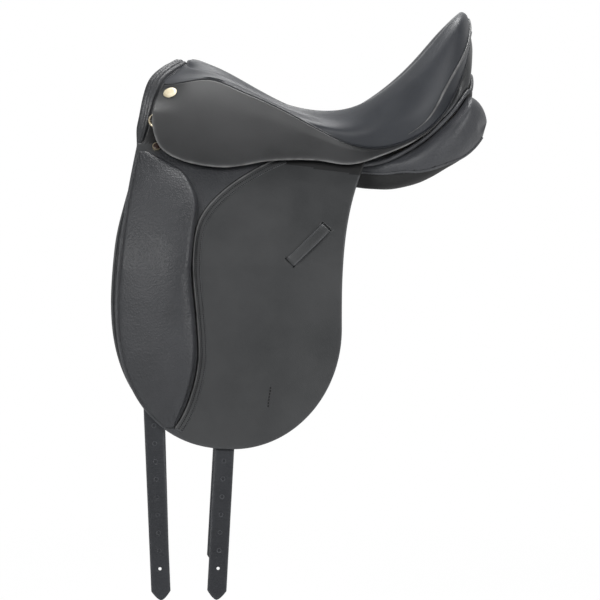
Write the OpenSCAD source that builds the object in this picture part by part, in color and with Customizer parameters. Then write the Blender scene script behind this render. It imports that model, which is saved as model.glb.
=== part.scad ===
// Dressage saddle, in millimetres.
// X runs from the head (negative) to the cantle (positive), Y to the off side, Z up.
// The origin is on the middle plane, level with the panels' bearing surface under the seat.

/* [Seat] */
// Straight length from the pommel stud to the middle of the cantle
seat_len = 445; // [425:5:465]
// Height of the pommel above the bearing surface
pommel_h = 176; // [172:1:182]
// Height of the seat's rim at its deepest place
dip_h = 98; // [96:1:104]
// Height of the cantle's top
cantle_h = 246; // [230:2:260]
// Half width of the seat at the nose
nose_half = 36; // [32:1:40]
// Half width of the seat at the twist, where the rider's thighs close
twist_half = 56; // [50:1:62]
// Half width that sets the rim where the seat is widest; the leather rolls a little further out
seat_half = 134; // [126:1:140]
// Height of the seat's side wall at its widest
wall_h = 80; // [72:2:88]
// Thickness of the seat leather
seat_leather = 3; // [2:0.5:4]
// Radius of the thin welt in the seat's seam
seam_r = 2.25; // [1.5:0.25:3]
// Thickness of the seat foam
foam_t = 12; // [8:1:13]

/* [Flaps] */
// Distance from the origin forward to the front of the flap
flap_front = 290; // [286:2:310]
// Distance from the origin back to the rear edge of the flap
flap_rear = 27; // [10:1:40]
// Depth of the flap below the bearing surface
flap_drop = 376; // [350:2:410]
// Outward lean of the flap's lower part
flap_splay = 4; // [2:0.5:6]
// Thickness of the flap leather
flap_t = 4.5; // [3.5:0.5:6]
// Thickness of the sweat flap under it
sweat_t = 3; // [2:0.5:4]
// Thickness of the small skirt over the stirrup bar
skirt_t = 3.5; // [2.5:0.5:4.5]
// Gap between the flap and the skirt, for the stirrup leather
skirt_gap = 9; // [8:0.5:11]
// Gap between the flap and the sweat flap, for the girth straps
strap_gap = 8; // [7.5:0.5:10]
// Height of the knee block above the flap
block_h = 24; // [16:1:28]
// Width of the keeper for the end of the stirrup leather
keeper_w = 15; // [10:1:20]
// Length of that keeper
keeper_len = 70; // [50:2:80]

/* [Side] */
// Half width over the flaps' inner faces where they start to hang straight
side_half = 198; // [190:1:208]
// Height at which the flaps start to hang straight
side_level = -120; // [-130:2:-110]
// Rise from that level to where the two sides would meet
side_rise = 300; // [294:1:306]

/* [Panels] */
// Width of the channel between the two panels
channel_w = 74; // [60:2:84]
// Thickness of a panel under the seat
panel_t = 48; // [42:1:50]
// Distance that the panels reach behind the cantle
panel_tail = 31; // [20:1:36]
// Radius of the piped welt on the panels
welt_r = 3; // [2:0.25:3.5]

/* [Girth straps] */
// Width of a girth strap
strap_w = 27; // [22:1:30]
// Thickness of a girth strap
strap_t = 4; // [3:0.25:4.5]
// Length of a girth strap below its stitched lap
strap_len = 452; // [400:2:480]
// Distance between buckle holes
hole_pitch = 25; // [20:0.5:28]
// Diameter of the buckle holes
hole_d = 4.5; // [3:0.25:6]
// Number of buckle holes in each strap
hole_count = 9; // [5:1:11]

/* [Tree] */
// Backward lean of the head
head_slope = 28; // [26:1:30]
// Thickness of the steel gullet plate
plate_t = 5; // [4:0.5:6]
// Width of the steel gullet plate
plate_w = 28; // [24:1:30]
// Radius of the gullet arch
arch_r = 72; // [68:1:74]
// Thickness of the tree's head above the plate
head_t = 10; // [8:1:11]
// Width of a tree rail
rail_w = 31; // [24:1:32]
// Thickness of a tree rail
rail_t = 9; // [7:0.5:10]

/* [Stirrup bars] */
// Length of the bar that the stirrup leather hangs on
bar_len = 84; // [70:1:88]
// Thickness of the bar
bar_t = 6; // [5:0.5:7]
// Height of the bar
bar_h = 14; // [12:0.5:15]
// Slot between the bar and its plate
bar_slot = 9; // [7:0.5:9.5]
// Thickness of the bar's plate
bar_plate_t = 4; // [3:0.5:5]
// Diameter of the catch's pin
pin_d = 4; // [3:0.25:5]

/* [Fittings] */
// Diameter of the pommel stud's head
stud_d = 20; // [16:1:22]
// Diameter of the point screw's head
screw_d = 12; // [8:0.5:13]
// Inside width of the dee ring along its bar
dee_w = 20; // [16:1:24]
// Diameter of the dee ring's wire
dee_wire = 3.2; // [3:0.1:3.6]

/* [Hidden] */
$fn = 48;
clear = 0.4;
run = 0.05;
eps = 0.01;

// Places on the side view, as real positions
stud_x = -214;
stud_z = 124;
stud_half = 66;
nose_x = -204;
cantle_x = stud_x + sqrt(pow(seat_len, 2) - pow(cantle_h - stud_z, 2) - pow(stud_half, 2));
head_x = -195;
head_z = 141;
panel_front = -250;
panel_rear = cantle_x + panel_tail;

// Joint lines: [front x, front z, rear x, rear z] on the side view
skirt_bend = [-238, 98, 84, 36];
flap_bend = [-270, 45.5, 66, 8];
bend_gap = 1;

// Colours
black = [0.13, 0.13, 0.14];
grained = [0.19, 0.19, 0.20];
strap_black = [0.10, 0.10, 0.11];
beech = [0.72, 0.55, 0.36];
steel = [0.62, 0.63, 0.65];
brass = [0.80, 0.66, 0.36];
foam_grey = [0.75, 0.73, 0.66];
web_white = [0.82, 0.80, 0.74];

// Curves

function lerp(a, b, t) = a + (b - a) * t;
function clamp(v, low, high) = min(max(v, low), high);
function unit(v) = v / norm(v);
function ramp(t) = let (c = clamp(t, 0, 1)) c * c * (3 - 2 * c);

// Smooth curve through knots [[place, value], ...]; a value is a number or a point
function knot_before(k, p, i = 0) =
    i >= len(k) - 2 || p < k[i + 1][0] ? i : knot_before(k, p, i + 1);
function knot_slope(k, i) =
    let (a = max(i - 1, 0), b = min(i + 1, len(k) - 1))
    (k[b][1] - k[a][1]) / (k[b][0] - k[a][0]);
function smooth(k, place) =
    let (
        p = clamp(place, k[0][0], k[len(k) - 1][0]),
        i = knot_before(k, p),
        h = k[i + 1][0] - k[i][0],
        t = (p - k[i][0]) / h
    )
    (2 * pow(t, 3) - 3 * pow(t, 2) + 1) * k[i][1]
    + (pow(t, 3) - 2 * pow(t, 2) + t) * h * knot_slope(k, i)
    + (3 * pow(t, 2) - 2 * pow(t, 3)) * k[i + 1][1]
    + (pow(t, 3) - pow(t, 2)) * h * knot_slope(k, i + 1);

function bend_z(line, x) = lerp(line[1], line[3], (x - line[0]) / (line[2] - line[0]));

// Solids from grids of points

// Two triangles for the quad a, b, c, d, seen clockwise from outside
function quad(a, b, c, d, turned = false) = turned ? [[b, c, d], [a, b, d]] : [[a, c, d], [a, b, c]];

// Closed solid between two grids; rows cross columns points from low to high
module between(low, high) {
    rows = len(low);
    cols = len(low[0]);
    n = rows * cols;
    function at(i, j, top) = top * n + i * cols + j;
    polyhedron(
        points = concat([for (r = low) each r], [for (r = high) each r]),
        faces = concat(
            [for (i = [0:rows - 2], j = [0:cols - 2])
                each quad(at(i, j, 1), at(i, j + 1, 1), at(i + 1, j + 1, 1), at(i + 1, j, 1))],
            [for (i = [0:rows - 2], j = [0:cols - 2])
                each quad(at(i, j, 0), at(i + 1, j, 0), at(i + 1, j + 1, 0), at(i, j + 1, 0))],
            [for (j = [0:cols - 2]) each concat(
                quad(at(0, j, 0), at(0, j + 1, 0), at(0, j + 1, 1), at(0, j, 1)),
                quad(at(rows - 1, j, 1), at(rows - 1, j + 1, 1),
                    at(rows - 1, j + 1, 0), at(rows - 1, j, 0)))],
            [for (i = [0:rows - 2]) each concat(
                quad(at(i, 0, 1), at(i + 1, 0, 1), at(i + 1, 0, 0), at(i, 0, 0)),
                quad(at(i, cols - 1, 0), at(i + 1, cols - 1, 0), at(i + 1, cols - 1, 1), at(i, cols - 1, 1)))]
        ),
        convexity = 8
    );
}

// Closed solid through rings of points; each ring runs anticlockwise seen from the last ring
module loft(rings) {
    m = len(rings[0]);
    n = len(rings);
    polyhedron(
        points = [for (r = rings) each r],
        faces = concat(
            [for (i = [0:n - 2], j = [0:m - 1]) let (k = (j + 1) % m)
                each quad(i * m + j, (i + 1) * m + j, (i + 1) * m + k, i * m + k)],
            [for (j = [1:m - 2]) [0, j, j + 1]],
            [for (j = [1:m - 2]) [(n - 1) * m, (n - 1) * m + j + 1, (n - 1) * m + j]]
        ),
        convexity = 8
    );
}

// Round tube along a path
module tube(path, r, sides) {
    n = len(path);
    loft([for (i = [0:n - 1]) let (
            ahead = unit(path[min(i + 1, n - 1)] - path[max(i - 1, 0)]),
            across = unit(cross(ahead, [0.31, 0.05, 0.95])),
            up = cross(across, ahead)
        ) [for (s = [0:sides - 1]) let (a = 360 * s / sides) path[i] + r * (cos(a) * up + sin(a) * across)]]);
}

// Shell between two domes; each dome is a list of closed rings from a slit at its middle out to its edge
module dome_shell(outer, inner) {
    rings = len(outer);
    m = len(outer[0]);
    half = m / 2;
    n = rings * m;
    function at(i, j, deep) = deep * n + i * m + j % m;
    polyhedron(
        points = concat([for (r = outer) each r], [for (r = inner) each r]),
        faces = concat(
            [for (i = [0:rings - 2], j = [0:m - 1]) each concat(
                quad(at(i, j, 0), at(i + 1, j, 0), at(i + 1, j + 1, 0), at(i, j + 1, 0), j >= half),
                quad(at(i, j, 1), at(i, j + 1, 1), at(i + 1, j + 1, 1), at(i + 1, j, 1), j >= half))],
            [for (j = [0:m - 1])
                each quad(at(rings - 1, j, 0), at(rings - 1, j, 1),
                    at(rings - 1, j + 1, 1), at(rings - 1, j + 1, 0))],
            [for (d = [0, 1], j = [0:half - 1]) let (
                    a = at(0, j, d), b = at(0, j + 1, d), c = at(0, m - j - 1, d), e = at(0, m - j, d),
                    tris = j == 0 ? [[a, b, c]] : j == half - 1 ? [[a, b, e]] : [[a, b, c], [a, c, e]]
                ) each [for (t = tris) d == 0 ? t : [t[0], t[2], t[1]]]]
        ),
        convexity = 8
    );
}

// The side of the saddle: flaps, straps and skirts lie on offsets of one surface

side_power = 1.3;
// Half width of the flap's inner face at height z
function side_y(z) = z < side_level
    ? side_half + (side_level - z) * tan(flap_splay)
    : side_half * pow(1 - pow(min((z - side_level) / side_rise, 1), side_power), 1 / side_power);

// The head narrows forwards above the skirts' bend
nose_start = -185;
nose_run = 60;
nose_pull = 30;
nose_low = 94;
nose_rise = 42;
function nose_in(x, z) =
    nose_pull * pow(clamp((nose_start - x) / nose_run, 0, 1), 2) * ramp((z - nose_low) / nose_rise);

// Half width of the skirt's inner face
function skirt_y(x, z) = side_y(z) + flap_t + skirt_gap - nose_in(x, z);

// Seat: curves from the front of the nose (0) to the middle of the cantle (1), on the off side

function seat_x(f) = lerp(nose_x, cantle_x, f);
function front_z(g) = lerp(dip_h, pommel_h, g);
function rear_z(g) = lerp(dip_h, cantle_h, g);
function wide(g) = lerp(twist_half, seat_half, g);

// Middle line of the seat
spine_knots = [
    [0, [seat_x(0.04), 0, front_z(0.97)]], [0.1, [seat_x(0.06), 0, front_z(1)]],
    [0.2, [seat_x(0.13), 0, front_z(0.87)]], [0.3, [seat_x(0.25), 0, front_z(0.5)]],
    [0.4, [seat_x(0.375), 0, front_z(0.16)]], [0.5, [seat_x(0.5), 0, front_z(-0.06)]],
    [0.6, [seat_x(0.6), 0, rear_z(-0.05)]], [0.7, [seat_x(0.68), 0, rear_z(0.01)]],
    [0.8, [seat_x(0.76), 0, rear_z(0.1)]], [0.88, [seat_x(0.81), 0, rear_z(0.2)]],
    [0.95, [seat_x(0.85), 0, rear_z(0.29)]], [1, [seat_x(0.87), 0, rear_z(0.34)]]
];
// Rim where the seat rolls over into its side
rim_knots = [
    [0, [seat_x(0.025), 0, front_z(0.95)]], [0.1, [seat_x(0.04), nose_half, front_z(0.8)]],
    [0.2, [seat_x(0.13), wide(-0.1), front_z(0.74)]], [0.3, [seat_x(0.25), wide(0), front_z(0.44)]],
    [0.4, [seat_x(0.375), wide(0.1), front_z(0.13)]], [0.5, [seat_x(0.5), wide(0.32), front_z(0)]],
    [0.6, [seat_x(0.61), wide(0.52), rear_z(0.03)]], [0.7, [seat_x(0.71), wide(0.6), rear_z(0.19)]],
    [0.8, [seat_x(0.83), wide(0.48), rear_z(0.47)]], [0.88, [seat_x(0.915), wide(0.22), rear_z(0.76)]],
    [0.95, [seat_x(0.98), wide(0) * 0.85, rear_z(0.95)]], [1, [seat_x(1), 0, rear_z(1)]]
];
// Drop from the rim to the seam, as a share of the side wall
drop_knots = [
    [0, 0.05], [0.1, 0.28], [0.2, 0.14], [0.3, 0.09], [0.4, 0.1], [0.5, 0.36], [0.6, 0.66], [0.7, 1],
    [0.8, 1.27], [0.88, 1.34], [0.95, 0.98], [0.98, 0.6], [1, 0.4]
];
// Place of the seam along the seat
seam_x_knots = [
    [0, nose_x + 7], [0.1, nose_x - 18], [0.2, seat_x(0.11)], [0.3, seat_x(0.235)], [0.4, seat_x(0.365)],
    [0.5, seat_x(0.5)], [0.6, seat_x(0.605)], [0.7, seat_x(0.715)], [0.8, seat_x(0.845)],
    [0.88, seat_x(0.935)], [0.95, seat_x(1)], [1, cantle_x + 16]
];
function rim(t) = smooth(rim_knots, t);
function spine(t) = smooth(spine_knots, t);

// The seam lies on the skirts along the sides, and closes in at the cantle and over the nose
seam_close_knots = [[0.7, 1], [0.8, 0.96], [0.88, 0.8], [0.95, 0.52], [0.98, 0.27], [1, 0]];
function seam_half(t, x, z) =
    let (side = skirt_y(x, z))
    t < 0.1 ? side * sin(900 * t)
    : t < 0.7 ? side
    : let (widest = skirt_y(seat_x(0.715), rear_z(0.19) - wall_h)) widest * smooth(seam_close_knots, t);
function seam(t) = let (
        x = smooth(seam_x_knots, t),
        z = rim(t)[2] - wall_h * smooth(drop_knots, t)
    ) [x, seam_half(t, x, z), z];

// Section of the seat: r runs from the middle line (0) over the rolled rim (0.66) to the seam (1)
crown_knots = [[0, 2], [0.1, 3], [0.2, 5], [0.3, 4], [0.5, -2], [0.8, -5], [1, -4]];
roll_knots = [
    [0, 2], [0.1, 4], [0.2, 6], [0.3, 6], [0.4, 9], [0.5, 17], [0.6, 23], [0.8, 23], [0.88, 19], [0.95, 13], [1, 10]
];
bulge_knots = [[0.08, 0], [0.2, 4], [0.4, 4], [0.6, 9], [0.8, 9], [0.92, 5], [1, 3]];
function seat_section(t) = let (
        s = spine(t), e = rim(t), m = seam(t),
        out = unit([e[0] - s[0], e[1] - s[1], 0]),
        roll = smooth(roll_knots, t),
        fall = lerp(0.7, 0.4, ramp((t - 0.85) / 0.15)),
        over = e + roll * [out[0], out[1], -fall],
        body = ramp((t - 0.08) / 0.12),
        knee = lerp(lerp(e, m, 0.4), over, body)
    ) [
        [0, s], [0.32, lerp(s, e, 0.5) + [0, 0, smooth(crown_knots, t)]],
        [0.56, lerp(s, e, 0.86) + [0, 0, -1]],
        [0.66, e], [0.76, knee], [0.88, lerp(knee, m, 0.5) + smooth(bulge_knots, t) * out], [1, m]
    ];
function seat_point(t, r) = smooth(seat_section(t), r);

// The seat's surface moved in by a depth, square to itself
function seat_normal(t, r) = let (
        h = 0.01,
        along = t == 0 ? [0, 1, 0]
            : t == 1 ? [0, -1, 0] : seat_point(min(t + h, 1), r) - seat_point(max(t - h, 0), r),
        across = seat_point(t, min(r + h, 1)) - seat_point(t, max(r - h, 0)),
        middle = spine(min(t + h, 1)) - spine(max(t - h, 0))
    ) r == 0 ? unit([-middle[2], 0, middle[0]]) : unit(cross(along, across));
function seat_inside(t, r, depth) = seat_point(t, r) - depth * seat_normal(t, r);

function mirrored(p) = [p[0], -p[1], p[2]];
function both_sides(half) = concat(half, [for (i = [len(half) - 2:-1:0]) mirrored(half[i])]);
function both_rows(half) = concat(half, [for (i = [len(half) - 2:-1:0]) [for (p = half[i]) mirrored(p)]]);

// Closed ring round the seat at r, from the nose along the off side to the cantle and back on the near side
seat_steps = 30;
slit = 0.4;
function opened(p, r) = r > 0 ? p : [p[0], slit, p[2]];
function seat_ring(r, depth, first = 0) = let (
        off_side = [for (i = [first:seat_steps]) let (t = i / seat_steps)
            seat_inside(t, wall_place(t, r), depth)],
        last = seat_steps - first
    ) concat(
        [for (i = [0:last]) i == 0 || i == last ? [off_side[i][0], 0, off_side[i][2]] : opened(off_side[i], r)],
        [for (i = [last - 1:-1:1]) mirrored(opened(off_side[i], r))]
    );

// The cover stops short of the welt
function cover_edge(t) = let (
        down = seat_point(t, 1) - seat_point(t, 0.88),
        along = unit(seam(min(t + 0.01, 1)) - seam(max(t - 0.01, 0))),
        square = max(norm(cross(along, unit(down))), 0.2)
    ) 1 - min(0.12 * (seam_r + 6 * clear) / square / norm(down), 0.2);
function wall_place(t, r) = r > 0.76 ? lerp(0.76, cover_edge(t), (r - 0.76) / 0.24) : r;
module seat_cover() {
    places = [0, 0.16, 0.32, 0.46, 0.56, 0.66, 0.71, 0.76, 0.88, 1];
    color(black) dome_shell([for (r = places) seat_ring(r, 0)], [for (r = places) seat_ring(r, seat_leather)]);
}

foam_top = seat_leather + clear;
foam_floor = foam_top + foam_t;
foam_places = [0, 0.16, 0.32, 0.46, 0.56];
foam_first = 2;
module seat_foam() {
    color(foam_grey) dome_shell(
        [for (r = foam_places) seat_ring(r, foam_top, foam_first)],
        [for (r = foam_places) seat_ring(r, foam_floor, foam_first)]
    );
}
// Rows of points under the foam, at the foam's own stations
function under_foam(first, last, from, to, depth) = [for (i = [first:last]) [for (j = [from:to])
    seat_inside(i / seat_steps, foam_places[j], depth)]];

// Welt along the seam, from the near corner of the nose round the cantle to the off corner
seam_first = 3;
function seam_path() = both_sides([for (i = [seam_first:seat_steps]) seam(i / seat_steps)]);
module seat_welt() {
    color(black) tube(seam_path(), seam_r, 6);
}

// Panels: the bearing cushions, as tilted oval sections from the front (0) to the tail (1)

panel_z_knots = [
    [0, 58], [0.21, 44], [0.41, 32], [0.62, 18], [0.72, 17], [0.82, 34], [0.92, 67], [0.951, 79], [1, 82]
];
panel_thick_knots = [
    [0, 0.42], [0.1, 0.46], [0.21, 0.6], [0.41, 0.88], [0.62, 1.06], [0.72, 1.17], [0.82, 1.42],
    [0.88, 1.6], [0.92, 1.8], [0.951, 2.15], [1, 2.1]
];
panel_tilt_knots = [[0, 52], [0.21, 40], [0.41, 28], [0.62, 20], [0.72, 16], [0.82, 12], [0.92, 8], [1, 6]];
panel_half_knots = [[0, 44], [0.21, 47], [0.41, 43], [0.62, 42], [0.72, 47], [0.82, 53], [0.92, 50], [1, 44]];
panel_inner_knots = [[0, 8], [0.1, 3], [0.21, 5], [0.41, 10], [0.62, 9], [0.72, 6], [0.82, 2], [1, 0]];
panel_power = 2.5;
front_cap = 0.03;
tail_cap = 0.11;
function panel_x(u) = lerp(panel_front, panel_rear, u);
function panel_u(x) = (x - panel_front) / (panel_rear - panel_front);
function panel_end(u) =
    sqrt(1 - pow(1 - clamp(u / front_cap, 0, 1), 2)) * sqrt(1 - pow(1 - clamp((1 - u) / tail_cap, 0, 1), 2));
function panel_a(u) = smooth(panel_half_knots, u);
function panel_b(u) = panel_t / 2 * smooth(panel_thick_knots, u);
function panel_tilt(u) = smooth(panel_tilt_knots, u);
function panel_mid(u) =
    channel_w / 2 + smooth(panel_inner_knots, u) + panel_a(u) * cos(panel_tilt(u));

// Point of the panel's frame: s across the bearing surface outwards, n square to it upwards
function panel_at(u, s, n) = let (tilt = panel_tilt(u)) [
    panel_x(u),
    panel_mid(u) + s * cos(tilt) + n * sin(tilt),
    smooth(panel_z_knots, u) - s * sin(tilt) + n * cos(tilt)
];
function oval(v) = sign(v) * pow(abs(v), 2 / panel_power);
function panel_skin(u, angle, out = 0) = let (e = panel_end(u))
    panel_at(u, (e * panel_a(u) + out) * oval(cos(angle)), (e * panel_b(u) + out) * oval(sin(angle)));

module panel() {
    places = [0.002, 0.012, 0.03, 0.08, 0.16, 0.24, 0.32, 0.4, 0.48, 0.56, 0.64, 0.71, 0.77, 0.82,
        0.87, 0.9, 0.92, 0.935, 0.95, 0.965, 0.985, 0.996];
    steps = 24;
    color(grained) loft([for (u = places) [for (i = [0:steps - 1]) panel_skin(u, 360 * i / steps)]]);
}

// Welt on the panels' upper edge, behind the flaps and round the back of the cantle
panel_welt_knots = [[0.66, 38], [0.75, 56], [0.83, 66], [0.9, 76], [0.95, 104]];
tail_bridge = [panel_rear - 18, 0, 152];
// It stands off more where the panel's end closes
welt_rise = 2;
function panel_welt_at(u) =
    panel_skin(u, smooth(panel_welt_knots, u), welt_r + 3 * clear + welt_rise * ramp((u - 0.89) / 0.05));
function tail_line() = let (
        steps = 12,
        off_side = [for (i = [0:steps]) panel_welt_at(lerp(0.66, 0.95, i / steps))],
        last = off_side[steps],
        over = [for (i = [1:5]) let (k = i / 5) [
            lerp(last[0], tail_bridge[0], sin(90 * k)),
            last[1] * cos(90 * k),
            lerp(last[2], tail_bridge[2], ramp(k))]]
    ) concat(off_side, over);
module panel_welt() {
    color(grained) tube(both_sides(tail_line()), welt_r, 6);
}

// Lining strip that ties the two panels together over the channel
lining_t = 2.5;
module channel_lining() {
    places = [for (i = [0:14]) lerp(0.05, 0.93, i / 14)];
    function edge(u, drop) = let (p = panel_at(u, -panel_a(u), 0)) [p[0], p[1] - 2, p[2] - drop];
    color(black) between(
        [for (u = places) let (p = edge(u, lining_t)) [mirrored(p), [p[0], 0, p[2] + 2], p]],
        [for (u = places) let (p = edge(u, 0)) [mirrored(p), [p[0], 0, p[2] + 2], p]]
    );
}

// Tree: head and cantle joined by two rails, with a steel plate under the head

module in_head() {
    translate([head_x, 0, head_z]) rotate([0, head_slope, 0]) children();
}
arch_flare = 32;
arch_turn = 90 - arch_flare;
// Point of the arch: angle runs over the curved top, then length down a leg
function arch_top(angle, out) = [(arch_r + out) * sin(angle), (arch_r + out) * cos(angle) - arch_r];
function arch_leg(side, length, out) =
    arch_top(side * arch_turn, out) + length * [side * sin(arch_flare), -cos(arch_flare)];
function arch_edge(out, leg) = concat(
    [arch_leg(1, leg, out)], [for (i = [0:20]) arch_top(arch_turn * (1 - i / 10), out)], [arch_leg(-1, leg, out)]);
function reversed(list) = [for (i = [len(list) - 1:-1:0]) list[i]];
module arch_band(from, to, leg, wide) {
    rotate([90, 0, 90]) linear_extrude(wide) polygon(concat(arch_edge(to, leg), reversed(arch_edge(from, leg))));
}

plate_leg = 80;
head_leg = 34;
rivet_d = 6;
rivet_y = 22;
head_front = -4;
head_wide = plate_w + 10;
head_inner = plate_t / 2 + clear;
module rivet_holes(d) {
    for (s = [-1, 1]) translate([plate_w / 2, 0, -arch_r]) rotate([-s * asin(rivet_y / arch_r), 0, 0])
        translate([0, 0, arch_r - plate_t]) cylinder(h = 2 * plate_t + head_t, d = d);
}
module gullet_plate() {
    color(steel) in_head() difference() {
        arch_band(-plate_t / 2, plate_t / 2, plate_leg, plate_w);
        rivet_holes(rivet_d + 2 * run);
    }
}
module tree_head() {
    color(beech) in_head() difference() {
        translate([head_front, 0, 0]) arch_band(head_inner, head_inner + head_t, head_leg, head_wide);
        rivet_holes(rivet_d + 2 * run);
    }
}
module gullet_rivets() {
    head = 2;
    color(steel) in_head() for (s = [-1, 1])
        translate([plate_w / 2, 0, -arch_r]) rotate([-s * asin(rivet_y / arch_r), 0, 0]) {
            translate([0, 0, arch_r - plate_t / 2 - clear]) cylinder(h = plate_t + head_t, d = rivet_d);
            translate([0, 0, arch_r - plate_t / 2 - clear - head]) cylinder(h = head, d = 2 * rivet_d);
        }
}

rail_front = panel_u(-172);
rail_rear = panel_u(cantle_x - 92);
rail_lift_knots = [[0, 0], [0.6, 0], [1, 14]];
module tree_rail() {
    steps = 12;
    color(beech) loft([for (i = [0:steps]) let (
            u = lerp(rail_front, rail_rear, i / steps),
            n = panel_b(u) + 1 + smooth(rail_lift_knots, i / steps),
            s = -0.95 * panel_a(u)
        ) [
            panel_at(u, s + rail_w, n), panel_at(u, s + rail_w, n + rail_t),
            panel_at(u, s, n + rail_t), panel_at(u, s, n)]]);
}

web_t = 2.2;
cantle_t = 5;
module tree_cantle() {
    top = foam_floor + web_t + 2 * clear;
    function rows(depth) = both_rows(under_foam(22, seat_steps, 1, 3, depth));
    color(beech) between(rows(top + cantle_t), rows(top));
}
module seat_webs() {
    top = foam_floor + clear;
    function rows(depth) = under_foam(5, 28, 1, 2, depth);
    color(web_white) both() between(rows(top + web_t), rows(top));
}

// Leather over the back of the cantle, between the seat's seam and the panel welt, in two halves that meet behind
facing_t = 2.5;
facing_bulge = 5;
module cantle_facing() {
    steps = 12;
    low = tail_line();
    first = 8;
    function foot(k) = let (p = k * (len(low) - 1 - first) + first, i = min(floor(p), len(low) - 2))
        lerp(low[i], low[i + 1], p - i);
    function inward(k) = -unit([0.4 + k, 1.05 * (1 - k), 0]);
    function outer(k, r) = let (
            top = seam(lerp(0.885, 1, k)) + (seam_r + 7 * clear) * inward(k) - [0, 0, lerp(7, 2, k)],
            base = foot(k) + (welt_r + 3 * clear) * [0, 0, 1]
        ) lerp(top, base, r) - sin(180 * r) * facing_bulge * inward(k);
    function inner(k, r) = outer(k, r) + facing_t * inward(k);
    function rows(inside) = [for (i = [0:steps]) let (k = i / steps)
        [for (r = [0, 0.33, 0.67, 1]) let (p = inside ? inner(k, r) : outer(k, r))
            i == steps ? [p[0], clear / 2, p[2]] : p]];
    color(black) both() between(rows(true), rows(false));
}

// Padded roll over the front of the cut-back head, with its folds running along the arch
facing_half = 11;
facing_thick = 7;
fold_count = 5;
facing_in = 8;
facing_knots = [
    [0, [-205, 0, 164]], [0.2, [-218, 26, 156]], [0.4, [-234, 45, 140]],
    [0.6, [-244, side_y(115) - facing_in - 3, 115]],
    [0.8, [-251, side_y(83) - facing_in, 83]], [1, [-259, side_y(41) - facing_in, 41]]
];
function facing_path(k) = let (p = smooth(facing_knots, abs(k))) k < 0 ? mirrored(p) : p;
module pommel_facing() {
    steps = 32;
    color(grained) loft([for (i = [0:steps]) let (
            k = 1 - 2 * i / steps,
            p = facing_path(k),
            ahead = unit(facing_path(max(k - 0.02, -1)) - facing_path(min(k + 0.02, 1))),
            out = unit(cross(ahead, [1, 0, -0.45])),
            back = cross(out, ahead)
        ) [for (j = [0:17]) let (a = 20 * j, fold = 1 + 0.09 * cos(fold_count * a))
            p + fold * (facing_half * cos(a) * back + facing_thick * sin(a) * out)]]);
}

// Skirts: fixed along the seam, free below the bend

skirt_low = 22;
skirt_edge_knots = [
    [0.1, [nose_x - 36, skirt_low + 62]], [0.13, [nose_x - 33, skirt_low + 44]],
    [0.16, [nose_x - 24, skirt_low + 24]], [0.2, [nose_x - 2, skirt_low + 9]],
    [0.25, [seat_x(0.08), skirt_low - 1]], [0.3, [seat_x(0.175), skirt_low - 4]],
    [0.4, [seat_x(0.32), skirt_low + 5]], [0.5, [seat_x(0.467), skirt_low + 6]],
    [0.6, [seat_x(0.59), skirt_low]], [0.7, [seat_x(0.7), skirt_low + 12]],
    [0.8, [seat_x(0.827), skirt_low + 36]], [0.88, [seat_x(0.92), skirt_low + 66]]
];
skirt_first = 0.1;
skirt_last = 0.88;
skirt_free = 0.68;
function skirt_top(t) = let (s = seam(t), way = seam(t + 0.01) - s, square = unit([way[2], -way[0]]))
    [s[0], s[2]] + (seam_r + 2 * clear) * square;
// Share of the way down at which the skirt crosses its bend
function skirt_cross(t) = let (
        a = skirt_top(t), b = smooth(skirt_edge_knots, t),
        da = a[1] - bend_z(skirt_bend, a[0]), db = b[1] - bend_z(skirt_bend, b[0])
    ) clamp(da / (da - db), 0.02, 1);
// The front edge bows forwards
skirt_bow = 5;
skirt_bow_run = 0.06;
function skirt_point(t, r, out) = let (
        bow = skirt_bow * sin(180 * r) * (1 - ramp((t - skirt_first) / skirt_bow_run)),
        p = lerp(skirt_top(t), smooth(skirt_edge_knots, t), r) - [bow, 0],
        tail = ramp((t - 0.66) / 0.1),
        half = lerp(skirt_y(p[0], p[1]), seam(t)[1] + 3 * r, tail)
    ) [p[0], half + out, p[1]];
module skirt_sheet(from_t, to_t, steps, from_r, to_r, rows) {
    function grid(out) = [for (i = [0:steps]) let (t = lerp(from_t, to_t, i / steps))
        [for (j = [0:rows]) skirt_point(t, lerp(from_r(t), to_r(t), j / rows), out)]];
    color(black) between(grid(0), grid(skirt_t));
}
module skirt_root() {
    skirt_sheet(skirt_first, skirt_last, 27, function(t) 0, function(t) skirt_cross(t), 4);
}
function skirt_after(t) = let (
        a = skirt_top(t), b = smooth(skirt_edge_knots, t)
    ) min(skirt_cross(t) + bend_gap / norm(b - a), 0.97);
module skirt() {
    skirt_sheet(skirt_first, skirt_free, 24, function(t) skirt_after(t), function(t) 1, 4);
}

// Places a child with its own Z along a direction
module facing_to(p, n) {
    translate(p) rotate([0, acos(n[2] / norm(n)), atan2(n[1], n[0])]) children();
}
module both() {
    children();
    mirror([0, 1, 0]) children();
}

stud_face = [
    skirt_y(stud_x - 0.5, stud_z) - skirt_y(stud_x + 0.5, stud_z), 1,
    skirt_y(stud_x, stud_z - 0.5) - skirt_y(stud_x, stud_z + 0.5)
];
stud_t = 2.4;
stud_lift = 1.1;
module pommel_studs() {
    seat_at = [stud_x, skirt_y(stud_x, stud_z) + skirt_t, stud_z];
    color(brass) both() facing_to(seat_at + stud_lift * unit(stud_face), stud_face)
        rotate_extrude() polygon([[0, 0], [stud_d / 2 - 0.6, 0], [stud_d / 2, 0.7], [stud_d / 2 - 0.5, 1.5],
            [stud_d / 3, stud_t - 0.2], [0, stud_t]]);
}

// Stirrup bars with their safety catches

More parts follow.
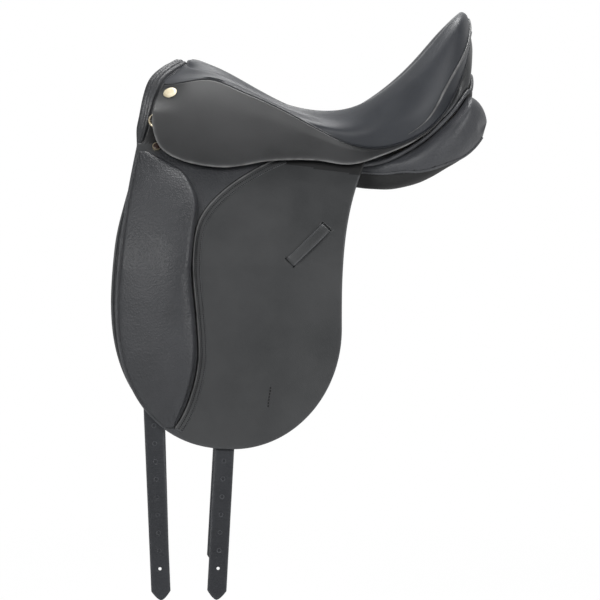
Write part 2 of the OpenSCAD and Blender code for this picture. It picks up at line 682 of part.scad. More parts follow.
bar_x = -196;
bar_y = 90.5;
bar_z = 66;
bar_front_t = 8;
catch_t = 2;
catch_len = 20;
catch_h = 9;
fork_depth = 14;
plate_up = 30;
pin_x = bar_x + bar_len - 6;
pin_z = bar_z + bar_h / 2;
arm_y = bar_y + bar_plate_t + bar_slot;
bar_rivet_d = 5;
bar_rivet_x = [bar_x + 24, bar_x + 66];
bar_rivet_z = bar_z + plate_up - 7;
module along_y(x, y, z, h, d) {
    translate([x, y, z]) rotate([-90, 0, 0]) cylinder(h = h, d = d);
}
module stirrup_bar() {
    color(steel) difference() {
        union() {
            translate([bar_x, bar_y, bar_z]) cube([bar_len + 10, bar_plate_t, plate_up]);
            translate([bar_x, bar_y + eps, bar_z])
                cube([bar_front_t, bar_plate_t + bar_slot + bar_t - 2 * eps, bar_h]);
            translate([bar_x, arm_y, bar_z]) cube([bar_len, bar_t, bar_h]);
        }
        translate([bar_x + bar_len - fork_depth, arm_y + (bar_t - catch_t) / 2 - clear, bar_z - 1])
            cube([fork_depth + 1, catch_t + 2 * clear, bar_h + 2]);
        along_y(pin_x, arm_y - 1, pin_z, bar_t + 2, pin_d + 2 * run);
        for (x = bar_rivet_x) along_y(x, bar_y - 1, bar_rivet_z, bar_plate_t + 2, bar_rivet_d + 2 * run);
    }
}
module bar_rivets() {
    color(steel) both() for (x = bar_rivet_x) {
        along_y(x, bar_y, bar_rivet_z, bar_plate_t + 0.5, bar_rivet_d);
        along_y(x, bar_y + bar_plate_t + clear, bar_rivet_z, 2, 1.8 * bar_rivet_d);
    }
}
module catch_pins() {
    color(steel) both() along_y(pin_x, arm_y, pin_z, bar_t, pin_d);
}
module bar_catch() {
    color(steel) translate([0, arm_y + (bar_t - catch_t) / 2, 0]) difference() {
        union() {
            along_y(pin_x, 0, pin_z, catch_t, catch_h);
            translate([pin_x, 0, pin_z - catch_h / 2 + 0.5]) cube([catch_len, catch_t, catch_h - 1]);
        }
        along_y(pin_x, -1, pin_z, catch_t + 2, pin_d + 2 * run);
    }
}

// Flaps

belly_front_z = -175;
belly_rear_z = -208;
flap_low_x = -125;
flap_top_in = 28;
flap_top_out = 33;
flap_top_z = flap_bend[1];
function below(z, level) = clamp((level - z) / (level + flap_drop), 0, 1);
function flap_front_x(z) = z > belly_front_z
    ? -flap_front + flap_top_in * pow((z - belly_front_z) / (flap_top_z - belly_front_z), 1.6)
    : flap_low_x - (flap_front + flap_low_x) * pow(1 - pow(below(z, belly_front_z), 2.3), 1 / 2.3);
function flap_rear_x(z) = z > belly_rear_z
    ? flap_rear + flap_top_out * pow((z - belly_rear_z) / (18 - belly_rear_z), 3)
    : flap_low_x + (flap_rear - flap_low_x) * sqrt(1 - pow(below(z, belly_rear_z), 2));
flap_levels = concat(
    [for (i = [0:7]) lerp(flap_top_z, belly_front_z, i / 8)],
    [for (a = [0, 12, 24, 35, 45, 54, 62, 69, 75, 80, 84, 87])
        belly_front_z - (belly_front_z + flap_drop) * sin(a)]
);
// The top rows slope with the bend
function flap_z(z, c) = let (
        x = lerp(flap_front_x(flap_top_z), flap_rear_x(flap_bend[3]), c),
        share = clamp((z - belly_front_z) / (flap_top_z - belly_front_z), 0, 1)
    ) z + (bend_z(flap_bend, x) - bend_gap - flap_top_z) * pow(share, 3);
function flap_grid(out) = [for (c = [0, 0.12, 0.35, 0.6, 0.85, 1]) [for (level = flap_levels)
    let (z = flap_z(level, c)) [lerp(flap_front_x(z), flap_rear_x(z), c), side_y(z) + out, z]]];
module flap() {
    color(black) between(flap_grid(0), flap_grid(flap_t));
}

root_top_knots = [
    [-257, 52], [-252, 56], [-248, 76], [-243, 90], [-236, 91], [-214, 90], [-204, 60], [-150, 56], [-60, 56],
    [0, 48], [60, 36]];
module flap_root() {
    places = [-257, -252, -248, -243, -236, -225, -214, -209, -204, -180, -120, -60, 0, 30, 60];
    function grid(out) = [for (x = places) let (top = smooth(root_top_knots, x), low = bend_z(flap_bend, x))
        [for (j = [0:4]) let (z = lerp(top, low, j / 4)) [x, side_y(z) + out, z]]];
    color(black) between(grid(0), grid(flap_t));
}

// Knee block: crowned towards the rider's leg, drawn in all round
block_top = 41;
block_low = -346;
block_rear_knots = [[-346, 81], [-308, 97], [-270, 107], [-233, 110], [-183, 106], [-134, 102], [-84, 106],
    [-36, 112], [-17, 109], [6, 98], [18, 86], [32, 62], [41, 42]];
block_rise_knots = [
    [0, 0.1], [0.12, 0.3], [0.3, 0.55], [0.5, 0.78], [0.7, 0.95], [0.84, 1], [0.94, 0.8], [1, 0.16]
];
block_end_knots = [
    [-346, 0.1], [-325, 0.5], [-280, 0.9], [-220, 1], [-90, 1], [-40, 0.8], [0, 0.52], [25, 0.28], [41, 0.1]
];
function block_point(c, z, out) = [
    lerp(flap_front_x(z) + 5, smooth(block_rear_knots, z) - flap_front, c), side_y(z) + flap_t + out, z];
module knee_block() {
    places = [0, 0.12, 0.3, 0.5, 0.7, 0.84, 0.94, 1];
    levels = [for (i = [0:20]) lerp(block_top, block_low, i / 20)];
    color(grained) between(
        [for (c = places) [for (z = levels) block_point(c, z, clear)]],
        [for (c = places) [for (z = levels)
            let (rise = block_h * smooth(block_rise_knots, c) * smooth(block_end_knots, z))
            block_point(c, z, clear + 1 + rise)]]
    );
}

// Double binding strip between the soft front of the flap and its smooth rear
binding_knots = [[-335, -193], [-313, -183], [-288, -175], [-264, -170], [-239, -168], [-189, -171], [-134, -176],
    [-106, -176], [-78, -173], [-56, -166], [-34, -150], [-11, -125], [12, -94]];
binding_w = 10;
binding_t = 2.2;
module knee_binding() {
    levels = [for (i = [0:18]) lerp(12, -335, i / 18)];
    ridge = [0.3, 1, 0.55, 1, 0.3];
    function place(i, z, out) = let (
            lean = (smooth(binding_knots, z + 2) - smooth(binding_knots, z - 2)) / 4,
            side = unit([1, -lean]) * binding_w * (i / 4 - 0.5),
            zz = z + side[1]
        ) [smooth(binding_knots, z) + side[0], side_y(zz) + flap_t + out, zz];
    color(black) between(
        [for (i = [0:4]) [for (z = levels) place(i, z, clear)]],
        [for (i = [0:4]) [for (z = levels) place(i, z, clear + binding_t * ridge[i])]]
    );
}

// Keeper for the loose end of the stirrup leather
keeper_x = -20;
keeper_z = -91;
keeper_turn = 43.6;
keeper_t = 3;
keeper_room = 5.4;
module keeper() {
    steps = 10;
    function place(k, e, out) = let (
            d = keeper_len * (k - 0.5), w = keeper_w * e,
            x = keeper_x + d * cos(keeper_turn) + w * sin(keeper_turn),
            z = keeper_z + d * sin(keeper_turn) - w * cos(keeper_turn)
        ) [x, side_y(z) + flap_t + clear + keeper_room * pow(sin(180 * k), 0.45) + out, z];
    color(black) between(
        [for (i = [0:steps]) [for (e = [-0.5, 0, 0.5]) place(i / steps, e, 0)]],
        [for (i = [0:steps]) [for (e = [-0.5, 0, 0.5]) place(i / steps, e, keeper_t)]]
    );
}

// Sweat flap between the girth straps and the horse
sweat_short = 14;
sweat_top = 16;
function sweat_scale(z) = z < 0 ? z * flap_drop / (flap_drop - sweat_short) : z;
module sweat_flap() {
    levels = concat(
        [for (i = [0:7]) lerp(sweat_top, belly_front_z, i / 8)],
        [for (a = [0, 18, 34, 48, 60, 70, 78, 84])
            belly_front_z - (belly_front_z + flap_drop - sweat_short) * sin(a)]
    );
    function grid(out) = [for (c = [0, 0.3, 0.7, 1]) [for (z = levels) let (
            q = sweat_scale(z),
            front = flap_front_x(q) + 4 - 8 * ramp((sweat_top - z) / 30),
            rear = flap_rear_x(q) - 24 * ramp((flap_drop - 60 + z) / 100)
        ) [lerp(front, rear, c), side_y(z) - strap_gap + out, z]]];
    color(grained) between(grid(-sweat_t), grid(0));
}

// Girth straps: webs from the tree, leather billets lapped to their ends

pivot_z = -136;
lap = 16;
front_strap_x = -245;
rear_strap_x = -124;
front_lean = 2.4;
rear_lean = -3.2;
strap_web_w = 30;
// Web knots: [height, place along X, how far it is drawn in towards the tree]
front_web_knots = [
    [pivot_z - lap, [front_strap_x, 0]], [0, [-240, 0]], [20, [-239, 0]], [34, [-235, -3]], [58, [-230, -3]]
];
rear_web_knots = [
    [pivot_z - lap, [rear_strap_x, 0]], [0, [-100, 0]], [40, [-90, 0]], [58, [-85, 2]], [76, [-80, 9]]
];
module strap_web(knots) {
    last = len(knots) - 1;
    levels = [for (i = [0:14]) lerp(knots[last][0], knots[0][0], i / 14)];
    function grid(out) = [for (e = [-0.5, 0.5]) [for (z = levels) let (k = smooth(knots, z))
        [k[0] + e * strap_web_w, side_y(z) - strap_gap + clear - k[1] + out, z]]];
    color(web_white) between(grid(0), grid(web_t));
}
module front_web() {
    strap_web(front_web_knots);
}
module rear_web() {
    strap_web(rear_web_knots);
}

strap_out = clear + web_t + clear;
tip_len = 13;
hole_first = 44;
module billet(x, lean) {
    color(strap_black) translate([x, side_y(pivot_z) - strap_gap + strap_out, pivot_z])
        rotate([90 + flap_splay, 0, 0]) rotate([0, 0, lean]) translate([0, 0, -strap_t])
        linear_extrude(strap_t) difference() {
            polygon(concat(
                [for (a = [0:15:180]) strap_w / 2 * [cos(a), sin(a)]],
                [for (e = [-1:0.25:1]) [strap_w / 2 * e, tip_len * pow(abs(e), 1.6) - strap_len]]));
            for (i = [0:hole_count - 1])
                translate([0, hole_first + i * hole_pitch - strap_len]) circle(d = hole_d);
        }
}
// The off front strap hangs a little further forward
off_swing = -0.9;
module front_billet(swing = 0) {
    billet(front_strap_x, front_lean + swing);
}
module rear_billet() {
    billet(rear_strap_x, rear_lean);
}

// Point pockets on the panels, over the ends of the gullet plate
pocket_t = 1.6;
pocket_deep = 34;
module point_pocket() {
    inner = -plate_t / 2 - clear;
    outer = plate_t / 2 + clear;
    top = plate_leg - pocket_deep;
    low = plate_leg + clear;
    color(grained) in_head() translate([-2, 0, 0]) rotate([90, 0, 90]) linear_extrude(plate_w + 4) polygon([
        arch_leg(1, top, outer), arch_leg(1, low, outer), arch_leg(1, low, inner), arch_leg(1, top, inner),
        arch_leg(1, top, inner - pocket_t), arch_leg(1, low + pocket_t, inner - pocket_t),
        arch_leg(1, low + pocket_t, outer + pocket_t), arch_leg(1, top, outer + pocket_t)
    ]);
}

// Screws that hold the flaps' front corners to the points
point_x = -233;
point_z = 47;
function side_slope(z) = (side_y(z + 1) - side_y(z - 1)) / 2;
module point_screws() {
    place = [point_x, side_y(point_z) + flap_t + clear, point_z];
    color(brass) both() facing_to(place, [0, 1, -side_slope(point_z)])
        difference() {
            cylinder(h = 2.5, d = screw_d);
            translate([0, 0, 1.2]) cylinder(h = 2, d = screw_d * 0.55);
        }
}

// Dee rings in their leather chapes, under the front of the skirts
dee_x = -232;
dee_z = 83;
chape_t = 1;
dee_lift = dee_wire / 2 + run + chape_t + clear;
chape_len = 10;
chape_tail = 16;
dee_r = dee_w / 2 + dee_wire / 2;
module at_dee() {
    tilt = atan(-side_slope(dee_z));
    translate([dee_x, side_y(dee_z) + flap_t, dee_z]) rotate([tilt, 0, 0])
        translate([0, dee_lift, 0]) children();
}
module dee() {
    color(brass) at_dee() {
        translate([0, 0, -dee_r]) cylinder(h = 2 * dee_r, d = dee_wire);
        rotate([90, 0, 0]) rotate([0, 0, 90])
            rotate_extrude(angle = 180) translate([dee_r, 0]) circle(d = dee_wire);
        for (s = [-1, 1]) translate([0, 0, s * dee_r]) sphere(d = dee_wire + 0.2);
    }
}
module dee_chape() {
    outer = dee_wire + 2 * run + 2 * chape_t;
    color(black) at_dee() difference() {
        union() {
            translate([0, 0, -chape_len / 2]) cylinder(h = chape_len, d = outer);
            translate([0, -outer / 2, -chape_len / 2]) cube([chape_tail, chape_t, chape_len]);
        }
        translate([0, 0, -chape_len / 2 - 1]) cylinder(h = chape_len + 2, d = dee_wire + 2 * run);
    }
}

module near() {
    mirror([0, 1, 0]) children();
}

tree_head();
near() tree_rail();  // near_tree_rail
tree_rail();  // off_tree_rail
tree_cantle();
gullet_plate();
gullet_rivets();
seat_webs();
seat_foam();
seat_cover();
seat_welt();
cantle_facing();
pommel_facing();
near() skirt_root();  // near_skirt_root
skirt_root();  // off_skirt_root
near() skirt();  // near_skirt
skirt();  // off_skirt
pommel_studs();
near() stirrup_bar();  // near_stirrup_bar
stirrup_bar();  // off_stirrup_bar
bar_rivets();
catch_pins();
near() bar_catch();  // near_bar_catch
bar_catch();  // off_bar_catch
near() panel();  // near_panel
panel();  // off_panel
panel_welt();
channel_lining();
near() sweat_flap();  // near_sweat_flap
sweat_flap();  // off_sweat_flap
near() point_pocket();  // near_point_pocket
point_pocket();  // off_point_pocket
near() flap_root();  // near_flap_root
flap_root();  // off_flap_root
point_screws();
near() flap();  // near_flap
flap();  // off_flap
near() knee_block();  // near_knee_block
knee_block();  // off_knee_block
near() knee_binding();  // near_knee_binding
knee_binding();  // off_knee_binding
near() keeper();  // near_keeper
keeper();  // off_keeper
near() front_web();  // near_front_web
front_web();  // off_front_web
near() rear_web();  // near_rear_web
rear_web();  // off_rear_web
near() front_billet();  // near_front_billet
front_billet(off_swing);  // off_front_billet
near() rear_billet();  // near_rear_billet
rear_billet();  // off_rear_billet
near() dee_chape();  // near_dee_chape
dee_chape();  // off_dee_chape
near() dee();  // near_dee
dee();  // off_dee
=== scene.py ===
"""Looks of the dressage saddle: pieces built by formula in millimetres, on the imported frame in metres."""
import math

import bmesh
import bpy
import numpy as np
from mathutils import Matrix, Vector, noise
from mathutils.bvhtree import BVHTree
from mathutils.kdtree import KDTree


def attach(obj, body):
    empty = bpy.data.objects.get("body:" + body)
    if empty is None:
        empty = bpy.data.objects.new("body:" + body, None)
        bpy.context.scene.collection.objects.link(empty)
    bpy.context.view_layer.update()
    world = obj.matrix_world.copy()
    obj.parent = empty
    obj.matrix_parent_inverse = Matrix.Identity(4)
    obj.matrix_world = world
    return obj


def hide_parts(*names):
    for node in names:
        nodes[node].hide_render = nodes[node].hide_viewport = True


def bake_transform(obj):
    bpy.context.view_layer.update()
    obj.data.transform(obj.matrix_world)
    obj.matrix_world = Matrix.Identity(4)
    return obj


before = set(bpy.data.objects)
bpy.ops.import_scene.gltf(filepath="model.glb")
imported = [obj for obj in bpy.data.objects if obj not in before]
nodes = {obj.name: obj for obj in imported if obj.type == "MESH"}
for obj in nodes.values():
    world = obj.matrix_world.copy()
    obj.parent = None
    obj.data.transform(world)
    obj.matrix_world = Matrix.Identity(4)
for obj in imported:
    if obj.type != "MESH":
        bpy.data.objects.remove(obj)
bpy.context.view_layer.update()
scene = bpy.context.scene
MM = 0.001


# Curves of the saddle, the same as the solids follow

def lerp(a, b, t):
    return a + (b - a) * t


def ramp(t):
    c = np.clip(t, 0, 1)
    return c * c * (3 - 2 * c)


def unit(v):
    v = np.asarray(v, float)
    return v / np.maximum(np.linalg.norm(v, axis=-1, keepdims=True), 1e-9)


def xyz(x, y, z):
    return np.stack(np.broadcast_arrays(x, y, z), -1)


def circle(count):
    return np.arange(count) * 2 * np.pi / count


def spaced(*runs):
    """Places in even runs (start, end, count), each from where the run before it ends."""
    lines = [np.linspace(*run) for run in runs]
    return np.concatenate([line[:-1] for line in lines[:-1]] + lines[-1:])


def curve(knots):
    """Smooth function through knots (place, value); a value is a number or a point."""
    places = np.array([k[0] for k in knots], float)
    values = np.array([k[1] for k in knots], float)
    before = np.maximum(np.arange(len(knots)) - 1, 0)
    after = np.minimum(np.arange(len(knots)) + 1, len(knots) - 1)
    span = (places[after] - places[before]).reshape((-1,) + (1,) * (values.ndim - 1))
    slopes = (values[after] - values[before]) / span

    def at(place):
        p = np.clip(np.asarray(place, float), places[0], places[-1])
        i = np.clip(np.searchsorted(places, p, side="right") - 1, 0, len(places) - 2)
        h = places[i + 1] - places[i]
        t = (p - places[i]) / h
        if values.ndim == 2:
            h, t = h[..., None], t[..., None]
        return (
            (2 * t**3 - 3 * t**2 + 1) * values[i]
            + (t**3 - 2 * t**2 + t) * h * slopes[i]
            + (3 * t**2 - 2 * t**3) * values[i + 1]
            + (t**3 - t**2) * h * slopes[i + 1]
        )

    return at


POMMEL, DIP, CANTLE = 176.0, 98.0, 246.0
NOSE_X, CANTLE_X = -204.0, 208.83
TWIST_HALF, SEAT_HALF, NOSE_HALF, WALL = 56.0, 134.0, 36.0, 80.0
SIDE_HALF, SIDE_LEVEL, SIDE_RISE, SIDE_POWER, SPLAY = 198.0, -120.0, 300.0, 1.3, math.radians(4)
FLAP_T, SKIRT_T, SKIRT_GAP, STRAP_GAP, SWEAT_T = 4.5, 3.5, 9.0, 8.0, 3.0
FLAP_FRONT, FLAP_REAR, FLAP_DROP = 290.0, 27.0, 376.0
CLEAR = 0.4
FLAP_BEND = ((-270.0, 45.5), (66.0, 8.0))


def side_y(z):
    """Half width of the flap's inner face at height z."""
    z = np.asarray(z, float)
    share = np.clip((z - SIDE_LEVEL) / SIDE_RISE, 0, 1)
    hanging = SIDE_HALF + (SIDE_LEVEL - z) * math.tan(SPLAY)
    return np.where(z < SIDE_LEVEL, hanging, SIDE_HALF * (1 - share**SIDE_POWER) ** (1 / SIDE_POWER))


def skirt_y(x, z):
    """Half width of the skirt's inner face, which turns in towards the nose."""
    nose = 30 * np.clip((-185 - x) / 60, 0, 1) ** 2 * ramp((z - 94) / 42)
    return side_y(z) + FLAP_T + SKIRT_GAP - nose


def seat_x(f):
    return lerp(NOSE_X, CANTLE_X, f)


def wide(g):
    return lerp(TWIST_HALF, SEAT_HALF, g)


def seat_curve(rows):
    """Curve over the seat from rows of place, share of the length, half width and share of the height."""
    return curve([(t, (seat_x(f), y, lerp(DIP, POMMEL if t <= 0.5 else CANTLE, g))) for t, f, y, g in rows])


spine = seat_curve([
    (0, 0.04, 0, 0.97), (0.1, 0.06, 0, 1), (0.2, 0.13, 0, 0.87), (0.3, 0.25, 0, 0.5), (0.4, 0.375, 0, 0.16),
    (0.5, 0.5, 0, -0.06), (0.6, 0.6, 0, -0.05), (0.7, 0.68, 0, 0.01), (0.8, 0.76, 0, 0.1),
    (0.88, 0.81, 0, 0.2), (0.95, 0.85, 0, 0.29), (1, 0.87, 0, 0.34),
])
rim = seat_curve([
    (0, 0.025, 0, 0.95), (0.1, 0.04, NOSE_HALF, 0.8), (0.2, 0.13, wide(-0.1), 0.74),
    (0.3, 0.25, wide(0), 0.44), (0.4, 0.375, wide(0.1), 0.13), (0.5, 0.5, wide(0.32), 0),
    (0.6, 0.61, wide(0.52), 0.03), (0.7, 0.71, wide(0.6), 0.19), (0.8, 0.83, wide(0.48), 0.47),
    (0.88, 0.915, wide(0.22), 0.76), (0.95, 0.98, wide(0) * 0.85, 0.95), (1, 1, 0, 1),
])
drop = curve([
    (0, 0.05), (0.1, 0.28), (0.2, 0.14), (0.3, 0.09), (0.4, 0.1), (0.5, 0.36), (0.6, 0.66), (0.7, 1),
    (0.8, 1.27), (0.88, 1.34), (0.95, 0.98), (0.98, 0.6), (1, 0.4),
])
seam_x = curve([
    (0, NOSE_X + 7), (0.1, NOSE_X - 18), (0.2, seat_x(0.11)), (0.3, seat_x(0.235)), (0.4, seat_x(0.365)),
    (0.5, seat_x(0.5)), (0.6, seat_x(0.605)), (0.7, seat_x(0.715)), (0.8, seat_x(0.845)),
    (0.88, seat_x(0.935)), (0.95, seat_x(1)), (1, CANTLE_X + 16),
])
seam_close = curve([(0.7, 1), (0.8, 0.96), (0.88, 0.8), (0.95, 0.52), (0.98, 0.27), (1, 0)])
crown = curve([(0, 2), (0.1, 3), (0.2, 5), (0.3, 4), (0.5, -2), (0.8, -5), (1, -4)])
roll_size = curve([
    (0, 2), (0.1, 4), (0.2, 6), (0.3, 6), (0.4, 9), (0.5, 17), (0.6, 23), (0.8, 23), (0.88, 19),
    (0.95, 13), (1, 10),
])
bulge = curve([(0.08, 0), (0.2, 4), (0.4, 4), (0.6, 9), (0.8, 9), (0.92, 5), (1, 3)])


def seam(t):
    """The seat's seam, from the front of the nose (0) to the middle of the cantle (1), on the off side."""
    t = np.asarray(t, float)
    x = seam_x(t)
    z = rim(t)[..., 2] - WALL * drop(t)
    side = skirt_y(x, z)
    widest = skirt_y(seat_x(0.715), lerp(DIP, CANTLE, 0.19) - WALL)
    nose = side * np.sin(np.radians(900 * np.minimum(t, 0.1)))
    return xyz(x, np.where(t < 0.1, nose, np.where(t < 0.7, side, widest * seam_close(t))), z)


def seat_section(t):
    """Curve over the seat at t: from the middle (0) over the rolled rim (0.66) to the seam (1)."""
    s, e, m = spine(t), rim(t), seam(t)
    out = unit((e - s) * [1, 1, 0])
    fall = lerp(0.7, 0.4, ramp((t - 0.85) / 0.15))
    over = e + roll_size(t) * np.array([out[0], out[1], -fall])
    body = ramp((t - 0.08) / 0.12)
    knee = lerp(lerp(e, m, 0.4), over, body)
    up = np.array([0, 0, 1.0])
    return curve([
        (0, s), (0.32, lerp(s, e, 0.5) + crown(t) * up), (0.56, lerp(s, e, 0.86) - up), (0.66, e),
        (0.76, knee), (0.88, lerp(knee, m, 0.5) + bulge(t) * out), (1, m),
    ])


def mirrored(points):
    return np.asarray(points, float) * [1, -1, 1]


def there_and_back(values):
    return np.concatenate([values, values[-2::-1]])


def both_halves(half):
    """A line from the off side to the middle, and on along its mirror image."""
    return np.concatenate([half, mirrored(half[-2::-1])])


def eased(path, steps, weight):
    """Evens out the inner points of a path."""
    path = path.copy()
    for step in range(steps):
        path[1:-1] = lerp(path[1:-1], (path[:-2] + path[2:]) / 2, weight)
    return path


# Meshes

def grid_faces(n, m, start=0, flip=False):
    quads = []
    for i in range(n - 1):
        for j in range(m - 1):
            a, b = start + i * m + j, start + (i + 1) * m + j
            quads.append((a, a + 1, b + 1, b) if flip else (a, b, b + 1, a + 1))
    return quads


def ring_faces(n, m, start=0, flip=False, caps=0, closed=False):
    """Faces of n rings of m points; caps (1 or -1) covers the ends, closed joins them."""
    faces = []
    for i in range(n if closed else n - 1):
        a, b = start + i * m, start + (i + 1) % n * m
        for j in range(m):
            k = (j + 1) % m
            faces.append((b + j, b + k, a + k, a + j) if flip else (a + j, a + k, b + k, b + j))
    if caps:
        ends = [tuple(range(start + i * m, start + (i + 1) * m)) for i in (0, n - 1)]
        faces += [ends[0][::caps], ends[1][::-caps]]
    return faces


def pad(top, low, inner):
    """Points and faces of a pad between two grids; inner closes it along the first column too."""
    n, m = top.shape[:2]
    count = n * m
    faces = grid_faces(n, m) + grid_faces(n, m, count, True)
    for j in range(m - 1):
        a, b = j, count - m + j
        faces.append((a, a + 1, count + a + 1, count + a))
        faces.append((b, count + b, count + b + 1, b + 1))
    for i in range(n - 1):
        a, b = i * m, (i + 1) * m
        if inner:
            faces.append((a, count + a, count + b, b))
        a, b = a + m - 1, b + m - 1
        faces.append((a, b, count + b, count + a))
    return np.concatenate([top.reshape(-1, 3), low.reshape(-1, 3)]), faces


def linked(name, data):
    """New object in the scene."""
    obj = bpy.data.objects.new(name, data)
    scene.collection.objects.link(obj)
    return obj


def make(name, points, faces, materials, weld=0.0, edge=0.0):
    """New mesh object from points in millimetres; edge says how pale the leather is at each point: rubbed at
    a sheet's border, painted highlight along pipings and welts.
    """
    points = np.asarray(points, float).reshape(-1, 3)
    edge = np.broadcast_to(np.asarray(edge, float).reshape(-1), len(points))
    bm = bmesh.new()
    layer = bm.verts.layers.float.new("edge")
    verts = [bm.verts.new(p * MM) for p in points]
    for v, value in zip(verts, edge):
        v[layer] = value
    for f in faces:
        bm.faces.new([verts[i] for i in f])
    if weld:
        bmesh.ops.remove_doubles(bm, verts=bm.verts, dist=weld * MM)
        bmesh.ops.dissolve_degenerate(bm, edges=bm.edges, dist=0.5 * weld * MM)
    for f in bm.faces:
        f.smooth = True
    mesh = bpy.data.meshes.new(name)
    bm.to_mesh(mesh)
    bm.free()
    for material in materials if isinstance(materials, list) else [materials]:
        mesh.materials.append(material)
    return linked(name, mesh)


def mirror_mesh(mesh):
    mesh.transform(Matrix.Scale(-1, 4, (0, 1, 0)))
    mesh.flip_normals()


def other_side(obj, name):
    """Mirrored copy of an off side object."""
    mesh = obj.data.copy()
    mirror_mesh(mesh)
    return linked(name, mesh)


def applied(obj):
    """Replaces the object's mesh by what its modifiers make of it."""
    graph = bpy.context.evaluated_depsgraph_get()
    mesh = bpy.data.meshes.new_from_object(obj.evaluated_get(graph), depsgraph=graph)
    obj.modifiers.clear()
    obj.data = mesh


def cut_out(obj, cutters):
    """Cuts the cutters' forms out of a piece and deletes the cutters."""
    for cutter in cutters:
        cut = obj.modifiers.new("cut", "BOOLEAN")
        cut.object = cutter
        cut.operation = "DIFFERENCE"
        cut.solver = "EXACT"
    bpy.context.view_layer.update()
    applied(obj)
    for cutter in cutters:
        bpy.data.objects.remove(cutter)


EDGE_STEPS = (0.0, 0.3, 0.8, 1.5, 2.1, 2.6, 3.1, 3.7, 4.6, 6.0)
CREASE_W, WEAR_W = 0.5, 1.3


def places(count, size):
    """Places from 0 to 1, with lines close to both ends for a rounded edge; size in millimetres."""
    close = np.array(EDGE_STEPS) / size
    return np.concatenate([close[:-1], np.linspace(close[-1], 1 - close[-1], count), 1 - close[-2::-1]])


def edge_distance(points):
    """Distance of each point of a grid to the grid's border."""
    fine = []
    for line in (points[0], points[-1], points[:, 0], points[:, -1]):
        for k in (0, 0.25, 0.5, 0.75):
            fine.append(lerp(line[:-1], line[1:], k))
        fine.append(line[-1:])
    fine = np.concatenate(fine)
    tree = KDTree(len(fine))
    for i, p in enumerate(fine):
        tree.insert(p, i)
    tree.balance()
    return np.array([tree.find(p)[2] for p in points.reshape(-1, 3)]).reshape(points.shape[:2])


def normals_of(points):
    return unit(np.cross(np.gradient(points, axis=0), np.gradient(points, axis=1)))


def leather_sheet(name, points, thick, materials, crease=0.0, crease_at=2.6, pale=1.0):
    """Sheet with a rounded edge round a grid of middle points, and a pressed line along its edge."""
    n, m = points.shape[:2]
    normal = normals_of(points)
    d = edge_distance(points)
    half = thick / 2 * np.sqrt(1 - (1 - np.clip(d / (thick / 2), 0, 1)) ** 2)
    groove = crease * np.exp(-(((d - crease_at) / CREASE_W) ** 2))
    top = points + normal * (half - groove)[..., None]
    low = points - normal * half[..., None]
    faces = grid_faces(n, m) + grid_faces(n, m, n * m, True)
    edge = np.exp(-d / WEAR_W) * np.broadcast_to(pale, d.shape)
    return make(name, np.stack([top, low]), faces, materials, weld=0.02, edge=np.stack([edge, edge]))


def frames_along(path):
    """Two unit vectors across a path that turn as little as they can."""
    ahead = unit(np.gradient(path, axis=0))
    across = np.zeros_like(path)
    guess = np.cross(ahead[0], [0.31, 0.05, 0.95])
    for i, a in enumerate(ahead):
        guess = guess - a * np.dot(guess, a)
        guess = guess / np.linalg.norm(guess)
        across[i] = guess
    return across, np.cross(ahead, across)


def tube_mesh(name, path, radius, material, sides=12, flat=1.0, edge=0.0):
    """Round tube along a path; radius may change along it."""
    n = len(path)
    radius = np.broadcast_to(np.asarray(radius, float), (n,))
    across, up = frames_along(path)
    angle = circle(sides)[None, :, None]
    ring = np.cos(angle) * across[:, None, :] + flat * np.sin(angle) * up[:, None, :]
    points = path[:, None, :] + radius[:, None, None] * ring
    return make(name, points, ring_faces(n, sides, caps=1), material, edge=edge)


def even_path(path, pitch):
    """Points along a path at an even pitch, and the directions there."""
    length = np.concatenate([[0], np.cumsum(np.linalg.norm(np.diff(path, axis=0), axis=1))])
    count = max(int(length[-1] / pitch), 2)
    s = (np.arange(count) + 0.5) * length[-1] / count

    def at(place):
        return np.stack([np.interp(place, length, path[:, k]) for k in range(3)], -1)

    return at(s), unit(at(s + 0.5) - at(s - 0.5))


def flap_outward(points):
    """Outward direction of the flap's face at points on it."""
    z = np.asarray(points)[..., 2]
    slope = (side_y(z + 1) - side_y(z - 1)) / 2
    return unit(xyz(0.0, 1.0, -slope))


def stitch_rows(name, rows, pitch, length, radius):
    """Rows of single stitches on the flap, each a short bead of thread that dips at its ends."""
    rings, sides = 7, 6
    s = np.linspace(-1, 1, rings)
    fat = np.sqrt(np.clip(1 - s**2, 0.02, 1))
    points, faces = [], []
    for row in rows:
        at, ahead = even_path(row, pitch)
        across = unit(np.cross(flap_outward(at), ahead))
        out = np.cross(ahead, across)
        for p, a, c, o in zip(at, ahead, across, out):
            faces += ring_faces(rings, sides, len(points), caps=-1)
            for k in range(rings):
                middle = p + a * s[k] * length / 2 + o * radius * (0.5 - 0.9 * s[k] ** 2)
                for q in circle(sides):
                    points.append(middle + radius * fat[k] * (math.cos(q) * c + math.sin(q) * o))
    return make(name, points, faces, THREAD_AND_SHADOW)


def dressed(obj, body, slot, *replaced):
    """The piece rides on a body and stands for CAD nodes; slot is not used."""
    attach(obj, body)
    if replaced:
        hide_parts(*replaced)


def both(obj, name, body, slot, *replaced):
    """An off side piece and its mirrored twin; names with {} take near or off."""
    twin = other_side(obj, name.format("near"))
    for side, piece in (("near", twin), ("off", obj)):
        piece.name = name.format(side)
        dressed(piece, body.format(side), slot, *[r.format(side) for r in replaced])
    return twin, obj


def bending_sheets(sheet, part):
    """A sheet and its mirrored twin, in place of the part's CAD node and its root."""
    twin = other_side(sheet, "near" + part + "_sheet")
    for side, sign, piece in (("near", -1, twin), ("off", 1, sheet)):
        child = side + part
        piece.name = child + "_sheet"
        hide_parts(child, child + "_root")
        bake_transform(piece)


# Materials

